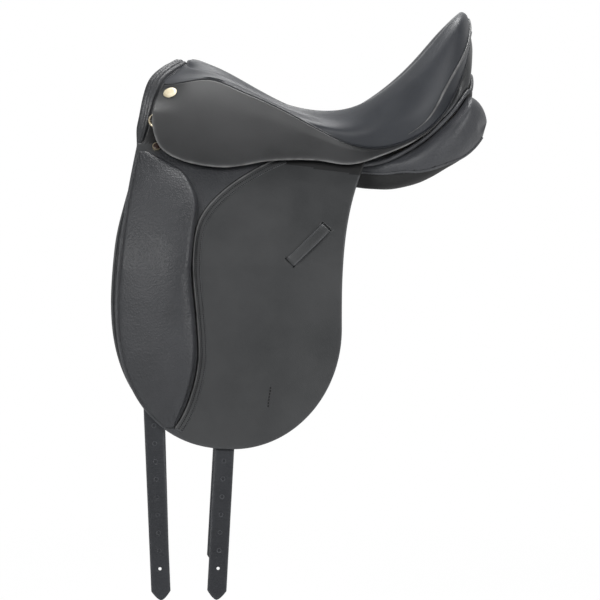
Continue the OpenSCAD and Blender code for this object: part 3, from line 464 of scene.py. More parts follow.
class Nodes:
    """Nodes of a material or of the world; add() makes one, sets its values and links its inputs."""

    def __init__(self, owner):
        self.owner = owner
        owner.use_nodes = True
        self.tree = owner.node_tree
        self.tree.nodes.clear()

    def add(self, kind, settings=None, **inputs):
        """New node; an input is named by i and its number, or by its name with _ for a space."""
        node = self.tree.nodes.new("ShaderNode" + kind)
        for key, value in (settings or {}).items():
            setattr(node, key, value)
        for key, value in inputs.items():
            numbered = key[0] == "i" and key[1:].isdigit()
            socket = node.inputs[int(key[1:]) if numbered else key.replace("_", " ")]
            if isinstance(value, bpy.types.NodeSocket):
                self.tree.links.new(value, socket)
            else:
                socket.default_value = value
        return node.outputs

    def place(self):
        return self.add("TexCoord")["Object"]

    def stretched(self, place, scale):
        return self.add("Mapping", Vector=place, Scale=scale)[0]

    def math(self, operation, a, b=0.0):
        return self.add("Math", {"operation": operation}, i0=a, i1=b)[0]

    def mix(self, factor, a, b):
        return self.add("Mix", {"data_type": "RGBA"}, i0=factor, i6=a, i7=b)[2]

    def span(self, value, low, high, to_low, to_high):
        return self.add("MapRange", Value=value, i1=low, i2=high, i3=to_low, i4=to_high)[0]

    def noise(self, place, scale, detail=4.0, rough=0.5):
        return self.add("TexNoise", Vector=place, Scale=scale, Detail=detail, Roughness=rough)[0]

    def bands(self, place, direction, **inputs):
        settings = {"wave_type": "BANDS", "bands_direction": direction}
        return self.add("TexWave", settings, Vector=place, **inputs)[1]

    def cells(self, place, feature, **inputs):
        return self.add("TexVoronoi", {"feature": feature}, Vector=place, **inputs)[0]

    def surface(self, tone, rough, height, strength, distance, **more):
        """Closes the material with a bumped surface."""
        bump = self.add("Bump", Strength=strength, Distance=distance, Height=height)[0]
        face = self.add("BsdfPrincipled", Base_Color=tone, Roughness=rough, Normal=bump, **more)[0]
        return self.close(face)

    def close(self, surface, kind="OutputMaterial"):
        self.add(kind, Surface=surface)
        return self.owner


def new_material(name):
    """The nodes of a new material, and the place on the object."""
    s = Nodes(bpy.data.materials.new(name))
    return s, s.place()


def rgb(*c):
    return (c[0], c[1], c[2], 1.0)


def leather(name, dark, light, edge, grain, pores, depth, rough, creases=0.0):
    """Dyed leather: blotches of tone, cells of grain with pores, and paler edges: rubbed at a sheet's border,
    painted highlight on pipings and welts.
    """
    s, place = new_material(name)
    blotch = s.noise(place, 11.0, 5.0, 0.6)
    fine = s.noise(place, 420.0, 3.0, 0.6)
    cells = s.cells(place, "SMOOTH_F1", Scale=grain, Smoothness=0.4)
    pore = s.cells(place, "F1", Scale=pores)
    wear_and_highlight = s.add("Attribute", {"attribute_name": "edge"})["Fac"]
    tone = s.mix(s.span(blotch, 0.3, 0.7, 0.0, 1.0), rgb(*dark), rgb(*light))
    tone = s.mix(s.span(fine, 0.35, 0.75, 0.0, 0.35), tone, rgb(*light))
    worn_and_highlit = s.math("MULTIPLY", wear_and_highlight, s.span(s.noise(place, 60.0), 0.3, 0.7, 0.35, 1.0))
    tone = s.mix(worn_and_highlit, tone, rgb(*edge))
    height = s.math("ADD", s.span(cells, 0.0, 0.7, 1.0, 0.0), s.span(pore, 0.0, 0.35, -0.5, 0.0))
    height = s.math("ADD", height, s.span(fine, 0.0, 1.0, -0.25, 0.25))
    if creases:
        lines = s.noise(s.stretched(place, (0.12, 1.0, 1.0)), 260.0, 4.0, 0.65)
        height = s.math("ADD", height, s.span(lines, 0.3, 0.7, -creases, creases))
    uneven = s.math("ADD", blotch, s.math("MULTIPLY", fine, 0.5))
    gloss = s.span(uneven, 0.45, 1.05, rough - 0.06, rough + 0.08)
    return s.surface(tone, gloss, height, 1.0, depth * MM, Specular_IOR_Level=0.42)


def metal(name, dark, light, rough):
    """Brushed and slightly tarnished metal."""
    s, place = new_material(name)
    cloud = s.noise(place, 90.0, 5.0, 0.6)
    brush = s.noise(s.stretched(place, (1.0, 1.0, 0.08)), 1800.0, 2.0)
    tone = s.mix(s.span(cloud, 0.35, 0.65, 0.0, 1.0), rgb(*dark), rgb(*light))
    gloss = s.span(s.math("ADD", cloud, brush), 0.6, 1.4, rough - 0.08, rough + 0.1)
    return s.surface(tone, gloss, brush, 0.3, 0.04 * MM, Metallic=1.0)


def woven(name, dark, light, pitch):
    """Flat woven webbing: threads that cross over and under."""
    s, place = new_material(name)
    wide_thread = s.bands(place, "X", Scale=1 / pitch / 2, Distortion=0.4)
    long_thread = s.bands(place, "Z", Scale=1 / pitch / 2, Distortion=0.4)
    height = s.math("MULTIPLY", wide_thread, long_thread)
    tone = s.mix(s.span(height, 0.1, 0.7, 0.0, 1.0), rgb(*dark), rgb(*light))
    tone = s.mix(s.span(s.noise(place, 40.0), 0.4, 0.8, 0.0, 0.4), tone, rgb(*dark))
    return s.surface(tone, 0.85, height, 0.8, 0.4 * MM)


def wood(name, dark, light):
    """Laminated beech: long grain with rings and pores."""
    s, place = new_material(name)
    stretched = s.stretched(place, (0.15, 1.0, 1.0))
    rings = s.bands(stretched, "Z", Scale=90.0, Distortion=6.0, Detail=3.0)
    pores = s.noise(stretched, 700.0, 3.0)
    tone = s.mix(s.span(rings, 0.1, 0.9, 0.0, 1.0), rgb(*dark), rgb(*light))
    tone = s.mix(s.span(pores, 0.55, 0.8, 0.0, 0.5), tone, rgb(*dark))
    return s.surface(tone, s.span(pores, 0.3, 0.7, 0.5, 0.65), pores, 0.4, 0.2 * MM)


def foam(name, dark, light):
    """Cut cellular foam."""
    s, place = new_material(name)
    cells = s.cells(place, "F1", Scale=700.0)
    tone = s.mix(s.span(cells, 0.0, 0.7, 0.0, 1.0), rgb(*light), rgb(*dark))
    tone = s.mix(s.span(s.noise(place, 30.0), 0.4, 0.7, 0.0, 0.3), tone, rgb(*dark))
    return s.surface(tone, 0.92, cells, 0.8, 0.6 * MM)


WORN = (0.085, 0.088, 0.094)
SMOOTH = leather("smooth_leather", (0.023, 0.0243, 0.0256), (0.0371, 0.0384, 0.0397), WORN,
                 grain=900, pores=1500, depth=0.05, rough=0.46)
# The skirt's leather, darker than the flap's as painted shade, since the leaning skirt catches more light;
# its pale edge tone marks the skirt's cut edge and gives the pipings a painted highlight.
SHADED_LEATHER_PALE_EDGE = leather("shaded_leather_pale_edge", (0.0108, 0.0114, 0.012), (0.0192, 0.0198, 0.021), (0.26, 0.26, 0.26),
                grain=900, pores=1500, depth=0.05, rough=0.44)
# Near-black leather that stands in for shade: painted shade on the flap's top under the skirt, on the panels'
# undersides and on the welt's flange.
PAINTED_SHADE = leather("painted_shade_leather", (0.004, 0.0042, 0.0045), (0.008, 0.0082, 0.0086), (0.02, 0.02, 0.021),
               grain=900, pores=1500, depth=0.05, rough=0.62)
# The seat's own black leather, tinted blue: a painted reflection of the sky light on the seat's top.
SEAT_PAINTED_REFLECTION = leather("seat_leather", (0.016, 0.0180, 0.0225), (0.027, 0.030, 0.036), WORN,
               grain=700, pores=1300, depth=0.08, rough=0.48)
GRAINED = leather("grained_leather", (0.0182, 0.0195, 0.0221), (0.0364, 0.0377, 0.0416), WORN,
                  grain=330, pores=1000, depth=0.34, rough=0.46)
STRAP = leather("strap_leather", (0.008, 0.009, 0.012), (0.015, 0.017, 0.021), (0.06, 0.063, 0.07),
                grain=800, pores=1400, depth=0.12, rough=0.42, creases=1.2)
# Black thread; the same material makes the painted shadow line in front of the binding's piping.
THREAD_AND_SHADOW = leather("thread", (0.003, 0.003, 0.0035), (0.008, 0.008, 0.009), (0.01, 0.01, 0.011),
                 grain=1600, pores=2600, depth=0.1, rough=0.85)
FILLED = leather("filled_leather", (0.026, 0.0275, 0.0315), (0.051, 0.053, 0.0585), WORN,
                 grain=380, pores=1000, depth=0.22, rough=0.45)
BROWN = leather("brown_leather", (0.020, 0.009, 0.006), (0.035, 0.016, 0.010), (0.05, 0.025, 0.015),
                grain=900, pores=1500, depth=0.05, rough=0.4)
BRASS = metal("pale_brass", (0.66, 0.55, 0.36), (0.86, 0.78, 0.62), 0.32)
STUD = metal("stud_brass", (0.74, 0.65, 0.46), (0.86, 0.79, 0.62), 0.55)
STEEL = metal("steel", (0.42, 0.43, 0.45), (0.62, 0.63, 0.65), 0.34)
WOOD = wood("beech", (0.36, 0.22, 0.11), (0.62, 0.44, 0.26))
FOAM = foam("foam", (0.40, 0.38, 0.31), (0.60, 0.58, 0.50))
WEB = woven("webbing", (0.38, 0.36, 0.31), (0.66, 0.64, 0.58), 0.0022)


# Seat: its leather over foam and webs, with a welt along the seam and a piping round the cantle

SEAT_SKIN, SEAT_EASING = 2.4, 36
FOAM_TOP, FOAM_LOW, WEBS_DEPTH, WEBS_T = 3.4, 15.4, 17.0, 2.0
WELT_FRONT, WELT_REAR, WELT_EASING = 1.9, 1.45, 80
PIPING_R, PIPING_START, PIPING_STAND = 1.9, 0.76, 0.7


def seat_grid(along, across, depth=0.0):
    """Points over the off half of the seat, moved in by a depth square to it."""
    points = np.array([seat_section(t)(across) for t in along])
    if depth:
        normal = normals_of(points)
        normal[:, 0] = unit(normal[:, 0] * [1, 0, 1])
        points = points - depth * normal
    return points


seat_t = spaced((0, 0.14, 22), (0.14, 0.86, 74), (0.86, 1, 30))
seat_r = spaced((0, 0.56, 26), (0.56, 0.8, 18), (0.8, 1, 16))
seat_form = seat_grid(seat_t, seat_r)
loose = 0.5 * (1 - ramp((seat_r - 0.82) / 0.16))[None, :, None]
for step in range(SEAT_EASING):
    ring = np.concatenate([mirrored(seat_form[1:2]), seat_form, mirrored(seat_form[-2:-1])])
    seat_form = lerp(seat_form, (ring[:-2] + ring[2:]) / 2, loose)
n, m = seat_form.shape[:2]
faces = grid_faces(n, m) + grid_faces(n, m, n * m, True)
seat = make("seat_cover", np.stack([seat_form, mirrored(seat_form)]), faces, SEAT_PAINTED_REFLECTION, weld=0.05)
shell = seat.modifiers.new("leather", "SOLIDIFY")
shell.thickness = SEAT_SKIN * MM
shell.offset = -1
dressed(seat, "saddle", "smooth_leather", "seat_cover")

t = np.linspace(0.1, 1, 260)
path = both_halves(seam(t))
middle = np.exp(-((path[:, 1:2] / 22) ** 2)) * (path[:, :1] > 0)
path = eased(path, WELT_EASING, 0.5 * middle[1:-1])
size = lerp(WELT_FRONT, WELT_REAR, ramp((t - 0.2) / 0.2))
welt = tube_mesh("seat_welt", path, there_and_back(size), STRAP)
dressed(welt, "saddle", "smooth_leather", "seat_welt")


def seat_at(t, r):
    """Points on the seat's cover."""
    found = []
    for q, k in zip(t, r):
        line = np.array([[np.interp(k, seat_r, row[:, a]) for a in range(3)] for row in seat_form])
        found.append([np.interp(q, seat_t, line[:, a]) for a in range(3)])
    return np.array(found)


t = np.linspace(PIPING_START, 1, 120)
piping_r = curve([(0.76, 0.97), (0.82, 0.95), (0.88, 0.9), (0.95, 0.895), (0.98, 0.855), (1, 0.8)])
half = seat_at(t, piping_r(t))
half = half + PIPING_STAND * unit((half - [120, 0, 150]) * [1, 1, 0.3])
half[-1, 1] = 0
taper = lerp(0.3, PIPING_R, ramp((t - PIPING_START) / 0.1))
# The whole piping is paled towards the pale edge tone: a painted highlight along the cantle's rim.
piping = tube_mesh("cantle_piping", both_halves(half), there_and_back(taper), SHADED_LEATHER_PALE_EDGE, edge=0.5)
dressed(piping, "saddle", "smooth_leather")

foam_t, foam_r = np.linspace(0.07, 1, 60), np.linspace(0, 0.56, 22)
points, faces = pad(seat_grid(foam_t, foam_r, FOAM_TOP), seat_grid(foam_t, foam_r, FOAM_LOW), False)
faces = faces + [tuple(v + len(points) for v in f[::-1]) for f in faces]
cushion = make("seat_foam", np.stack([points, mirrored(points)]), faces, FOAM, weld=0.3)
dressed(cushion, "saddle", "foam", "seat_foam")

web_grid = seat_grid(np.linspace(5 / 30, 28 / 30, 60), lerp(0.16, 0.32, places(12, 60)), WEBS_DEPTH)
webs = leather_sheet("seat_webs_off", web_grid, WEBS_T, WEB)
twin = other_side(webs, "seat_webs_near")
dressed(webs, "saddle", "webbing", "seat_webs")
dressed(twin, "saddle", "webbing")


# Skirts: one sheet over its bend

SKIRT_SEAM, SKIRT_STAND, SKIRT_REACH = 1.4, 0.8, 1.4
skirt_edge = curve([
    (0.1, (NOSE_X - 36, 84)), (0.13, (NOSE_X - 33, 66)), (0.16, (NOSE_X - 24, 46)), (0.2, (NOSE_X - 2, 31)),
    (0.25, (seat_x(0.08), 21)), (0.3, (seat_x(0.175), 18)), (0.4, (seat_x(0.32), 27)),
    (0.5, (seat_x(0.467), 28)), (0.6, (seat_x(0.59), 22)), (0.7, (seat_x(0.7), 34)),
    (0.8, (seat_x(0.827), 58)), (0.88, (seat_x(0.92), 88)),
])


def skirt_points(t, r, out):
    """Grid over the skirt, from its seam (r 0) to its free edge (r 1)."""
    s = seam(t)
    way = seam(t + 0.01) - s
    square = unit(np.stack([way[:, 2], -way[:, 0]], -1))
    top = s[:, [0, 2]] + SKIRT_SEAM * square
    p = lerp(top[:, None, :], skirt_edge(t)[:, None, :], r[None, :, None])
    p[..., 0] -= 5 * np.sin(np.pi * r)[None, :] * (1 - ramp((t - 0.1) / 0.06))[:, None]
    tail = ramp((t - 0.66) / 0.1)[:, None]
    half = lerp(skirt_y(p[..., 0], p[..., 1]), s[:, 1][:, None] + 3 * r[None, :], tail)
    return xyz(p[..., 0], half + out + SKIRT_STAND * ramp(r / 0.3)[None, :], p[..., 1])


skirt_r = places(26, 90)
skirt_grid = skirt_points(lerp(0.1, 0.88, places(110, 400)), skirt_r, SKIRT_T / 2)
skirt = leather_sheet("off_skirt", skirt_grid, SKIRT_T, SHADED_LEATHER_PALE_EDGE, pale=ramp((skirt_r - 0.6) / 0.3)[None, :])
bending_sheets(skirt, "_skirt")


# Flaps: one sheet over its bend, grained in front of the binding and smooth behind it, with painted shade at
# its top

BELLY_FRONT, BELLY_REAR, FLAP_LOW_X, FLAP_TOP_Z, ROOT_TOP_Z = -175.0, -208.0, -125.0, 45.5, 92


def below(z, level):
    return np.clip((level - z) / (level + FLAP_DROP), 0, 1)


def flap_front_x(z):
    upper = -FLAP_FRONT + 28 * (np.clip(z - BELLY_FRONT, 0, None) / (FLAP_TOP_Z - BELLY_FRONT)) ** 1.6
    lower = FLAP_LOW_X - (FLAP_FRONT + FLAP_LOW_X) * (1 - below(z, BELLY_FRONT) ** 2.3) ** (1 / 2.3)
    return np.where(z > BELLY_FRONT, np.minimum(upper, -257), lower)


def flap_rear_x(z):
    upper = FLAP_REAR + 33 * (np.clip(z - BELLY_REAR, 0, None) / (18 - BELLY_REAR)) ** 3
    lower = FLAP_LOW_X + (FLAP_REAR - FLAP_LOW_X) * np.sqrt(1 - below(z, BELLY_REAR) ** 2)
    return np.where(z > BELLY_REAR, np.minimum(upper, 62), lower)


root_top = curve([
    (-257, 52), (-252, 56), (-248, 76), (-243, 90), (-236, 91), (-214, 90), (-204, 60), (-150, 56), (-60, 56),
    (0, 48), (60, 36),
])
binding_x = curve([
    (-352, -204), (-335, -193), (-313, -183), (-288, -175), (-264, -170), (-239, -168), (-189, -171),
    (-134, -176), (-106, -176), (-78, -173), (-56, -166), (-34, -150), (-11, -124), (6, -98), (20, -72),
    (31, -46),
])


def flap_levels(fine):
    """Heights of the flap's lines at its front edge, from the top of the root to the lowest point."""
    upper = spaced((ROOT_TOP_Z, FLAP_TOP_Z, 12), (FLAP_TOP_Z, BELLY_FRONT, fine))[:-1]
    angle = np.radians(spaced((0, 60, fine // 2), (60, 90, fine // 2)))
    return np.concatenate([upper, BELLY_FRONT - (BELLY_FRONT + FLAP_DROP) * np.sin(angle)])


def flap_points(levels, c, out):
    """Grid over the flap; c runs from the front edge (0) to the rear edge (1)."""
    grid = []
    for share in c:
        x = lerp(float(flap_front_x(FLAP_TOP_Z)), float(flap_rear_x(8.0)), share)
        (x0, z0), (x1, z1) = FLAP_BEND
        bend = lerp(z0, z1, (x - x0) / (x1 - x0))
        fade = np.clip((levels - BELLY_FRONT) / (FLAP_TOP_Z - BELLY_FRONT), 0, 1) ** 3
        z = np.where(
            levels > FLAP_TOP_Z,
            lerp(bend, root_top(x), (levels - FLAP_TOP_Z) / (ROOT_TOP_Z - FLAP_TOP_Z)),
            levels + (bend - FLAP_TOP_Z) * fade,
        )
        grid.append(xyz(lerp(flap_front_x(z), flap_rear_x(z), share), side_y(z) + out, z))
    return np.array(grid)


KEEPER_X, KEEPER_Z, KEEPER_TURN, KEEPER_LEN, KEEPER_W = -20.0, -91.0, math.radians(43.6), 70.0, 15.0
KEEPER_T, SLIT_W, SLIT_ROOM, SLIT_DEEP = 2.4, 3.2, 2.4, 30


def keeper_place(d, w=0.0, out=0.0):
    """Point of the keeper: d along it from its middle, w across it."""
    x = KEEPER_X + d * math.cos(KEEPER_TURN) + w * math.sin(KEEPER_TURN)
    z = KEEPER_Z + d * math.sin(KEEPER_TURN) - w * math.cos(KEEPER_TURN)
    return np.array([x, float(side_y(z)) + out, z])


def slit_cutter(d):
    """Thin box through the flap where the keeper passes."""
    bm = bmesh.new()
    bmesh.ops.create_cube(bm, size=1.0)
    mesh = bpy.data.meshes.new("slit")
    bm.to_mesh(mesh)
    bm.free()
    obj = linked("slit", mesh)
    at = keeper_place(d, 0, FLAP_T / 2)
    out = flap_outward(at[None])[0]
    along = np.array([math.sin(KEEPER_TURN), 0, -math.cos(KEEPER_TURN)])
    turn = Matrix((along, out, np.cross(along, out))).transposed().to_4x4()
    size = Matrix.Diagonal(((KEEPER_W + SLIT_ROOM) * MM, SLIT_DEEP * MM, SLIT_W * MM, 1))
    obj.matrix_world = Matrix.Translation(Vector(at) * MM) @ turn @ size
    return obj


flap_grid = flap_points(flap_levels(64), places(60, 320), FLAP_T / 2)
flap = leather_sheet("flap", flap_grid, FLAP_T, [SMOOTH, GRAINED, PAINTED_SHADE])
# Faces above a slanting line at the top of the flap take the near-black material: painted shade between the
# pommel roll and the skirt.
for polygon in flap.data.polygons:
    centre = polygon.center / MM
    if centre[2] > 50 - 0.15 * (centre[0] + 233):
        polygon.material_index = 2
    elif centre[0] < binding_x(centre[2]) and centre[2] < 40:
        polygon.material_index = 1
cut_out(flap, [slit_cutter(d) for d in (-KEEPER_LEN / 2 - 0.5, KEEPER_LEN / 2 + 0.5)])
bending_sheets(flap, "_flap")


# Binding with two rows of stitches, keeper and the short row of stitches on the flap

BINDING_W, BINDING_T = 11.0, 1.7


def binding_point(z, w, out):
    """Point of the binding: w across it in millimetres from its middle."""
    lean = (binding_x(z + 2) - binding_x(z - 2)) / 4
    side = unit(np.stack([np.ones_like(lean), -lean], -1))
    low = z + side[..., 1] * w
    return xyz(binding_x(z) + side[..., 0] * w, side_y(low) + FLAP_T + out, low)


z = lerp(29.0, -350.0, places(124, 370))
w = lerp(-BINDING_W / 2, BINDING_W / 2, places(5, BINDING_W * 1.25))
strip = np.stack([binding_point(z, q, 0.35) for q in w])
binding = leather_sheet("knee_binding", strip, BINDING_T, SMOOTH, 0.25, 1.9)
both(binding, "{}_knee_binding_strip", "{}_flap", "smooth_leather", "{}_knee_binding")
z = np.linspace(28, -349, 246)
# The piping is paled towards the pale edge tone: a painted highlight along the binding's front edge.
cord = tube_mesh("binding_piping", binding_point(z, 0.6 - BINDING_W / 2, 0.9), 1.35, SHADED_LEATHER_PALE_EDGE, 10, edge=0.4)
both(cord, "{}_binding_piping", "{}_flap", "smooth_leather")
# A thin black tube just in front of the piping: a painted shadow line in the gap at the binding's front edge.
shade = tube_mesh("binding_painted_shadow", binding_point(z, -1.2 - BINDING_W / 2, 0.1), 0.8, THREAD_AND_SHADOW, 8)
both(shade, "{}_binding_painted_shadow", "{}_flap", "smooth_leather")
z = np.linspace(27, -348, 210)
rows = [binding_point(z, q, 1.2) for q in (-0.6, 4.2)]
thread = stitch_rows("binding_stitches", rows, pitch=2.9, length=2.0, radius=0.75)
both(thread, "{}_binding_stitches", "{}_flap", "smooth_leather")

d = np.linspace(-KEEPER_LEN / 2 - 6, KEEPER_LEN / 2 + 6, 60)
inside = np.clip((np.abs(d) - KEEPER_LEN / 2 + 3) / 6, 0, 1.2)
arch = np.clip(1 - (d / (KEEPER_LEN / 2 - 4)) ** 2, 0, 1) ** 0.6
lift = FLAP_T + 1.5 + 2.2 * arch - 6.5 * inside**1.5
reach = np.clip(d, -KEEPER_LEN / 2 - 1.0, KEEPER_LEN / 2 + 1.0)
w = lerp(-KEEPER_W / 2, KEEPER_W / 2, places(7, KEEPER_W * 1.1))
strap = np.array([[keeper_place(a, q, o) for q in w] for a, o in zip(reach, lift)])
keeper = leather_sheet("keeper", strap, KEEPER_T, SMOOTH, 0.2, 2.2)
both(keeper, "{}_keeper_strap", "{}_flap", "smooth_leather", "{}_keeper")

z = np.linspace(-288.0, -318.0, 20)
row = xyz(np.linspace(-73.0, -77.0, 20), side_y(z) + FLAP_T + 0.1, z)
thread = stitch_rows("flap_stitches", [row], pitch=4.3, length=3.2, radius=0.9)
both(thread, "{}_flap_stitches", "{}_flap", "smooth_leather")


# Sweat flaps with a bound edge

SWEAT_SHORT, SWEAT_TOP = 14, 16


def sweat_edge(z, rear):
    """Place of the sweat flap's front or rear edge along the saddle."""
    q = np.where(z < 0, z * FLAP_DROP / (FLAP_DROP - SWEAT_SHORT), z)
    if rear:
        return flap_rear_x(q) - 24 * ramp((FLAP_DROP - 60 + z) / 100)
    return flap_front_x(q) + 4 - 8 * ramp((SWEAT_TOP - z) / 110)


low_z = -FLAP_DROP + SWEAT_SHORT
angle = np.radians(spaced((0, 60, 30), (60, 89.7, 24)))
upper = np.linspace(SWEAT_TOP, BELLY_FRONT, 40)[:-1]
levels = np.concatenate([upper, BELLY_FRONT - (BELLY_FRONT - low_z) * np.sin(angle)])
front, rear = sweat_edge(levels, False), sweat_edge(levels, True)
half = side_y(levels) - STRAP_GAP - SWEAT_T / 2
grid = np.stack([xyz(lerp(front, rear, k), half, levels) for k in places(24, 300)])
sweat = leather_sheet("sweat_flap", grid, SWEAT_T, GRAINED)
both(sweat, "{}_sweat_leather", "saddle", "grained_leather", "{}_sweat_flap")
outline = np.concatenate([grid[0], grid[-1][::-1]])
apart = np.concatenate([[True], np.linalg.norm(np.diff(outline, axis=0), axis=1) > 0.4])
bound, _ = even_path(outline[apart], 3.0)
band = tube_mesh("sweat_binding", bound, 2.6, SMOOTH, 12, 0.82, edge=0.5)
both(band, "{}_sweat_binding", "saddle", "smooth_leather")


# Girth straps and their webs

STRAP_W, STRAP_T, STRAP_LEN, TIP = 27.0, 4.0, 452.0, 13.0
HOLES, HOLE_PITCH, HOLE_FIRST, HOLE_D = 9, 25.0, 44.0, 4.5
PIVOT_Z = -136.0
WEB_T, WEB_W, WEB_LOW = 2.2, 30, -152.0
hole_places = [HOLE_FIRST + i * HOLE_PITCH - STRAP_LEN for i in range(HOLES)]


def strap_half(v):
    """Half width of the strap at v along it, from its round lap end to its tip."""
    tip = np.clip((v + STRAP_LEN) / TIP, 0, 1) ** (1 / 1.6)
    lap = np.sqrt(np.clip(1 - np.clip(v / (STRAP_W / 2), 0, 1) ** 2, 0, 1))
    return STRAP_W / 2 * np.minimum(tip, lap)


v = np.concatenate([
    STRAP_W / 2 * np.cos(np.linspace(0.02, np.pi / 2, 14)), np.linspace(-4, TIP - STRAP_LEN, 110),
    TIP * np.linspace(0.93, 0, 18) ** 1.6 - STRAP_LEN,
])
u = places(8, STRAP_W) * 2 - 1
grid = np.stack([xyz(k * strap_half(v), v, -STRAP_T / 2) for k in u])
strap = leather_sheet("billet", grid[::-1], STRAP_T, STRAP, 0.45, 3.1)
holes = bmesh.new()
for y in hole_places:
    at = Matrix.Translation(Vector((0, y, -STRAP_T / 2)) * MM)
    bmesh.ops.create_cone(holes, cap_ends=True, segments=24, radius1=HOLE_D / 2 * MM, radius2=HOLE_D / 2 * MM,
                          depth=4 * STRAP_T * MM, matrix=at)
punch_mesh = bpy.data.meshes.new("punch")
holes.to_mesh(punch_mesh)
holes.free()
cut_out(strap, [linked("punch", punch_mesh)])

points, faces = [], []
for y in hole_places:
    for face in (0.05, -STRAP_T - 0.05):
        faces += ring_faces(24, 8, len(points), flip=True, closed=True)
        for a in circle(24):
            for b in circle(8):
                r = HOLE_D / 2 + 0.55 + 0.6 * math.cos(b)
                points.append((r * math.cos(a), y + r * math.sin(a), face + 0.35 * math.sin(b)))
rims = make("billet_rims", points, faces, STRAP, edge=0.9)

for x, lean, off_swing, which in ((-245.0, 2.4, -0.9, "front"), (-124.0, -3.2, 0.0, "rear")):
    base = Vector((x, float(side_y(PIVOT_Z)) - STRAP_GAP + 2 * CLEAR + WEB_T, PIVOT_Z)) * MM
    lap = Matrix.Translation(base) @ Matrix.Rotation(math.pi / 2 + SPLAY, 4, "X")
    for side, swing in (("near", 0.0), ("off", off_swing)):
        body = side + "_" + which + "_billet"
        for source, name, replaced in ((strap, "_strap", [body]), (rims, "_hole_rims", [])):
            piece = linked(side + "_" + which + name, source.data.copy())
            piece.data.transform(lap @ Matrix.Rotation(math.radians(lean + swing), 4, "Z"))
            if side == "near":
                mirror_mesh(piece.data)
            dressed(piece, body, "strap_leather", *replaced)
bpy.data.objects.remove(strap)
bpy.data.objects.remove(rims)

web_lines = {
    "front": curve([(-152, (-245, 0)), (0, (-240, 0)), (20, (-239, 0)), (34, (-235, -3)), (58, (-230, -3))]),
    "rear": curve([(-152, (-124, 0)), (0, (-100, 0)), (40, (-90, 0)), (58, (-85, 2)), (76, (-80, 9))]),
}
for which, top_z in (("front", 58.0), ("rear", 76.0)):
    z = lerp(top_z, WEB_LOW, places(60, 230))
    x, sunk = web_lines[which](z).T
    half = side_y(z) - STRAP_GAP + CLEAR - sunk + WEB_T / 2
    grid = np.stack([xyz(x + q, half, z) for q in lerp(-WEB_W / 2, WEB_W / 2, places(8, WEB_W))])
    web = leather_sheet("web", grid, WEB_T, WEB)
    both(web, "{}_" + which + "_webbing", "saddle", "webbing", "{}_" + which + "_web")


# Panels and knee blocks, swollen by a simulation

PANEL_FRONT, PANEL_REAR, PANEL_T, CHANNEL = -250.0, CANTLE_X + 31, 48.0, 74.0
PANEL_NOSE, PANEL_TAIL, PANEL_POWER, PANEL_SIDES = 0.03, 0.11, 2.5, 52
panel_z = curve([
    (0, 58), (0.21, 44), (0.41, 32), (0.62, 18), (0.72, 17), (0.82, 34), (0.92, 67), (0.951, 79), (1, 82),
])
panel_thick = curve([
    (0, 0.42), (0.1, 0.46), (0.21, 0.6), (0.41, 0.88), (0.62, 1.06), (0.72, 1.17), (0.82, 1.42), (0.88, 1.6),
    (0.92, 1.8), (0.951, 2.15), (1, 2.1),
])
panel_tilt = curve([(0, 52), (0.21, 40), (0.41, 28), (0.62, 20), (0.72, 16), (0.82, 12), (0.92, 8), (1, 6)])
panel_half = curve([(0, 44), (0.21, 47), (0.41, 43), (0.62, 42), (0.72, 47), (0.82, 53), (0.92, 50), (1, 44)])
panel_inner = curve([(0, 8), (0.1, 3), (0.21, 5), (0.41, 10), (0.62, 9), (0.72, 6), (0.82, 2), (1, 0)])


def panel_at(u, s, n):
    """Point of a panel: s outwards across its bearing surface, n square to it upwards."""
    tilt = np.radians(panel_tilt(u))
    middle = CHANNEL / 2 + panel_inner(u) + panel_half(u) * np.cos(tilt)
    return xyz(lerp(PANEL_FRONT, PANEL_REAR, u), middle + s * np.cos(tilt) + n * np.sin(tilt),
               panel_z(u) - s * np.sin(tilt) + n * np.cos(tilt))


def panel_skin(u, angle, out=0.0):
    """Point of a panel's skin at an angle round its section, which narrows at both ends."""
    front = np.sqrt(1 - (1 - np.clip(u / PANEL_NOSE, 0, 1)) ** 2)
    tail = np.sqrt(1 - (1 - np.clip((1 - u) / PANEL_TAIL, 0, 1)) ** 2)
    c, s = np.cos(angle), np.sin(angle)
    flat = 2 / PANEL_POWER
    return panel_at(u, (front * tail * panel_half(u) + out) * np.sign(c) * np.abs(c) ** flat,
                    (front * tail * PANEL_T / 2 * panel_thick(u) + out) * np.sign(s) * np.abs(s) ** flat)


u = np.concatenate([
    PANEL_NOSE * (1 - np.cos(np.linspace(0.12, np.pi / 2, 6)))[:-1],
    np.linspace(PANEL_NOSE, 1 - PANEL_TAIL, 74)[:-1],
    1 - PANEL_TAIL * (1 - np.sin(np.linspace(0, np.pi / 2 - 0.06, 18))),
])
around = circle(PANEL_SIDES)
grid = np.stack([panel_skin(np.full_like(around, q), around, -2.0) for q in u])
faces = ring_faces(len(u), PANEL_SIDES, flip=True, caps=1)
panel = make("panel", grid, faces, [FILLED, PAINTED_SHADE])
crest = [i * PANEL_SIDES + j for i in range(len(u)) for j in (12, 13, 14)]
gusset_angle = curve([
    (0.5, 14), (0.6, 12), (0.674, 10), (0.745, 5), (0.84, -18), (0.9, -40), (0.94, -54), (0.975, -58),
    (0.99, -56),
])
# Faces below the gusset line, the gusset band, take the near-black material: painted shade on the panel's
# down-facing underside.
for i in range(len(u) - 1):
    limit = float(gusset_angle((u[i] + u[i + 1]) / 2))
    for j in range(PANEL_SIDES):
        turn = (np.degrees(around[j]) + 180 / PANEL_SIDES + 180) % 360 - 180
        if -150 < turn < limit:
            panel.data.polygons[i * PANEL_SIDES + j].material_index = 1

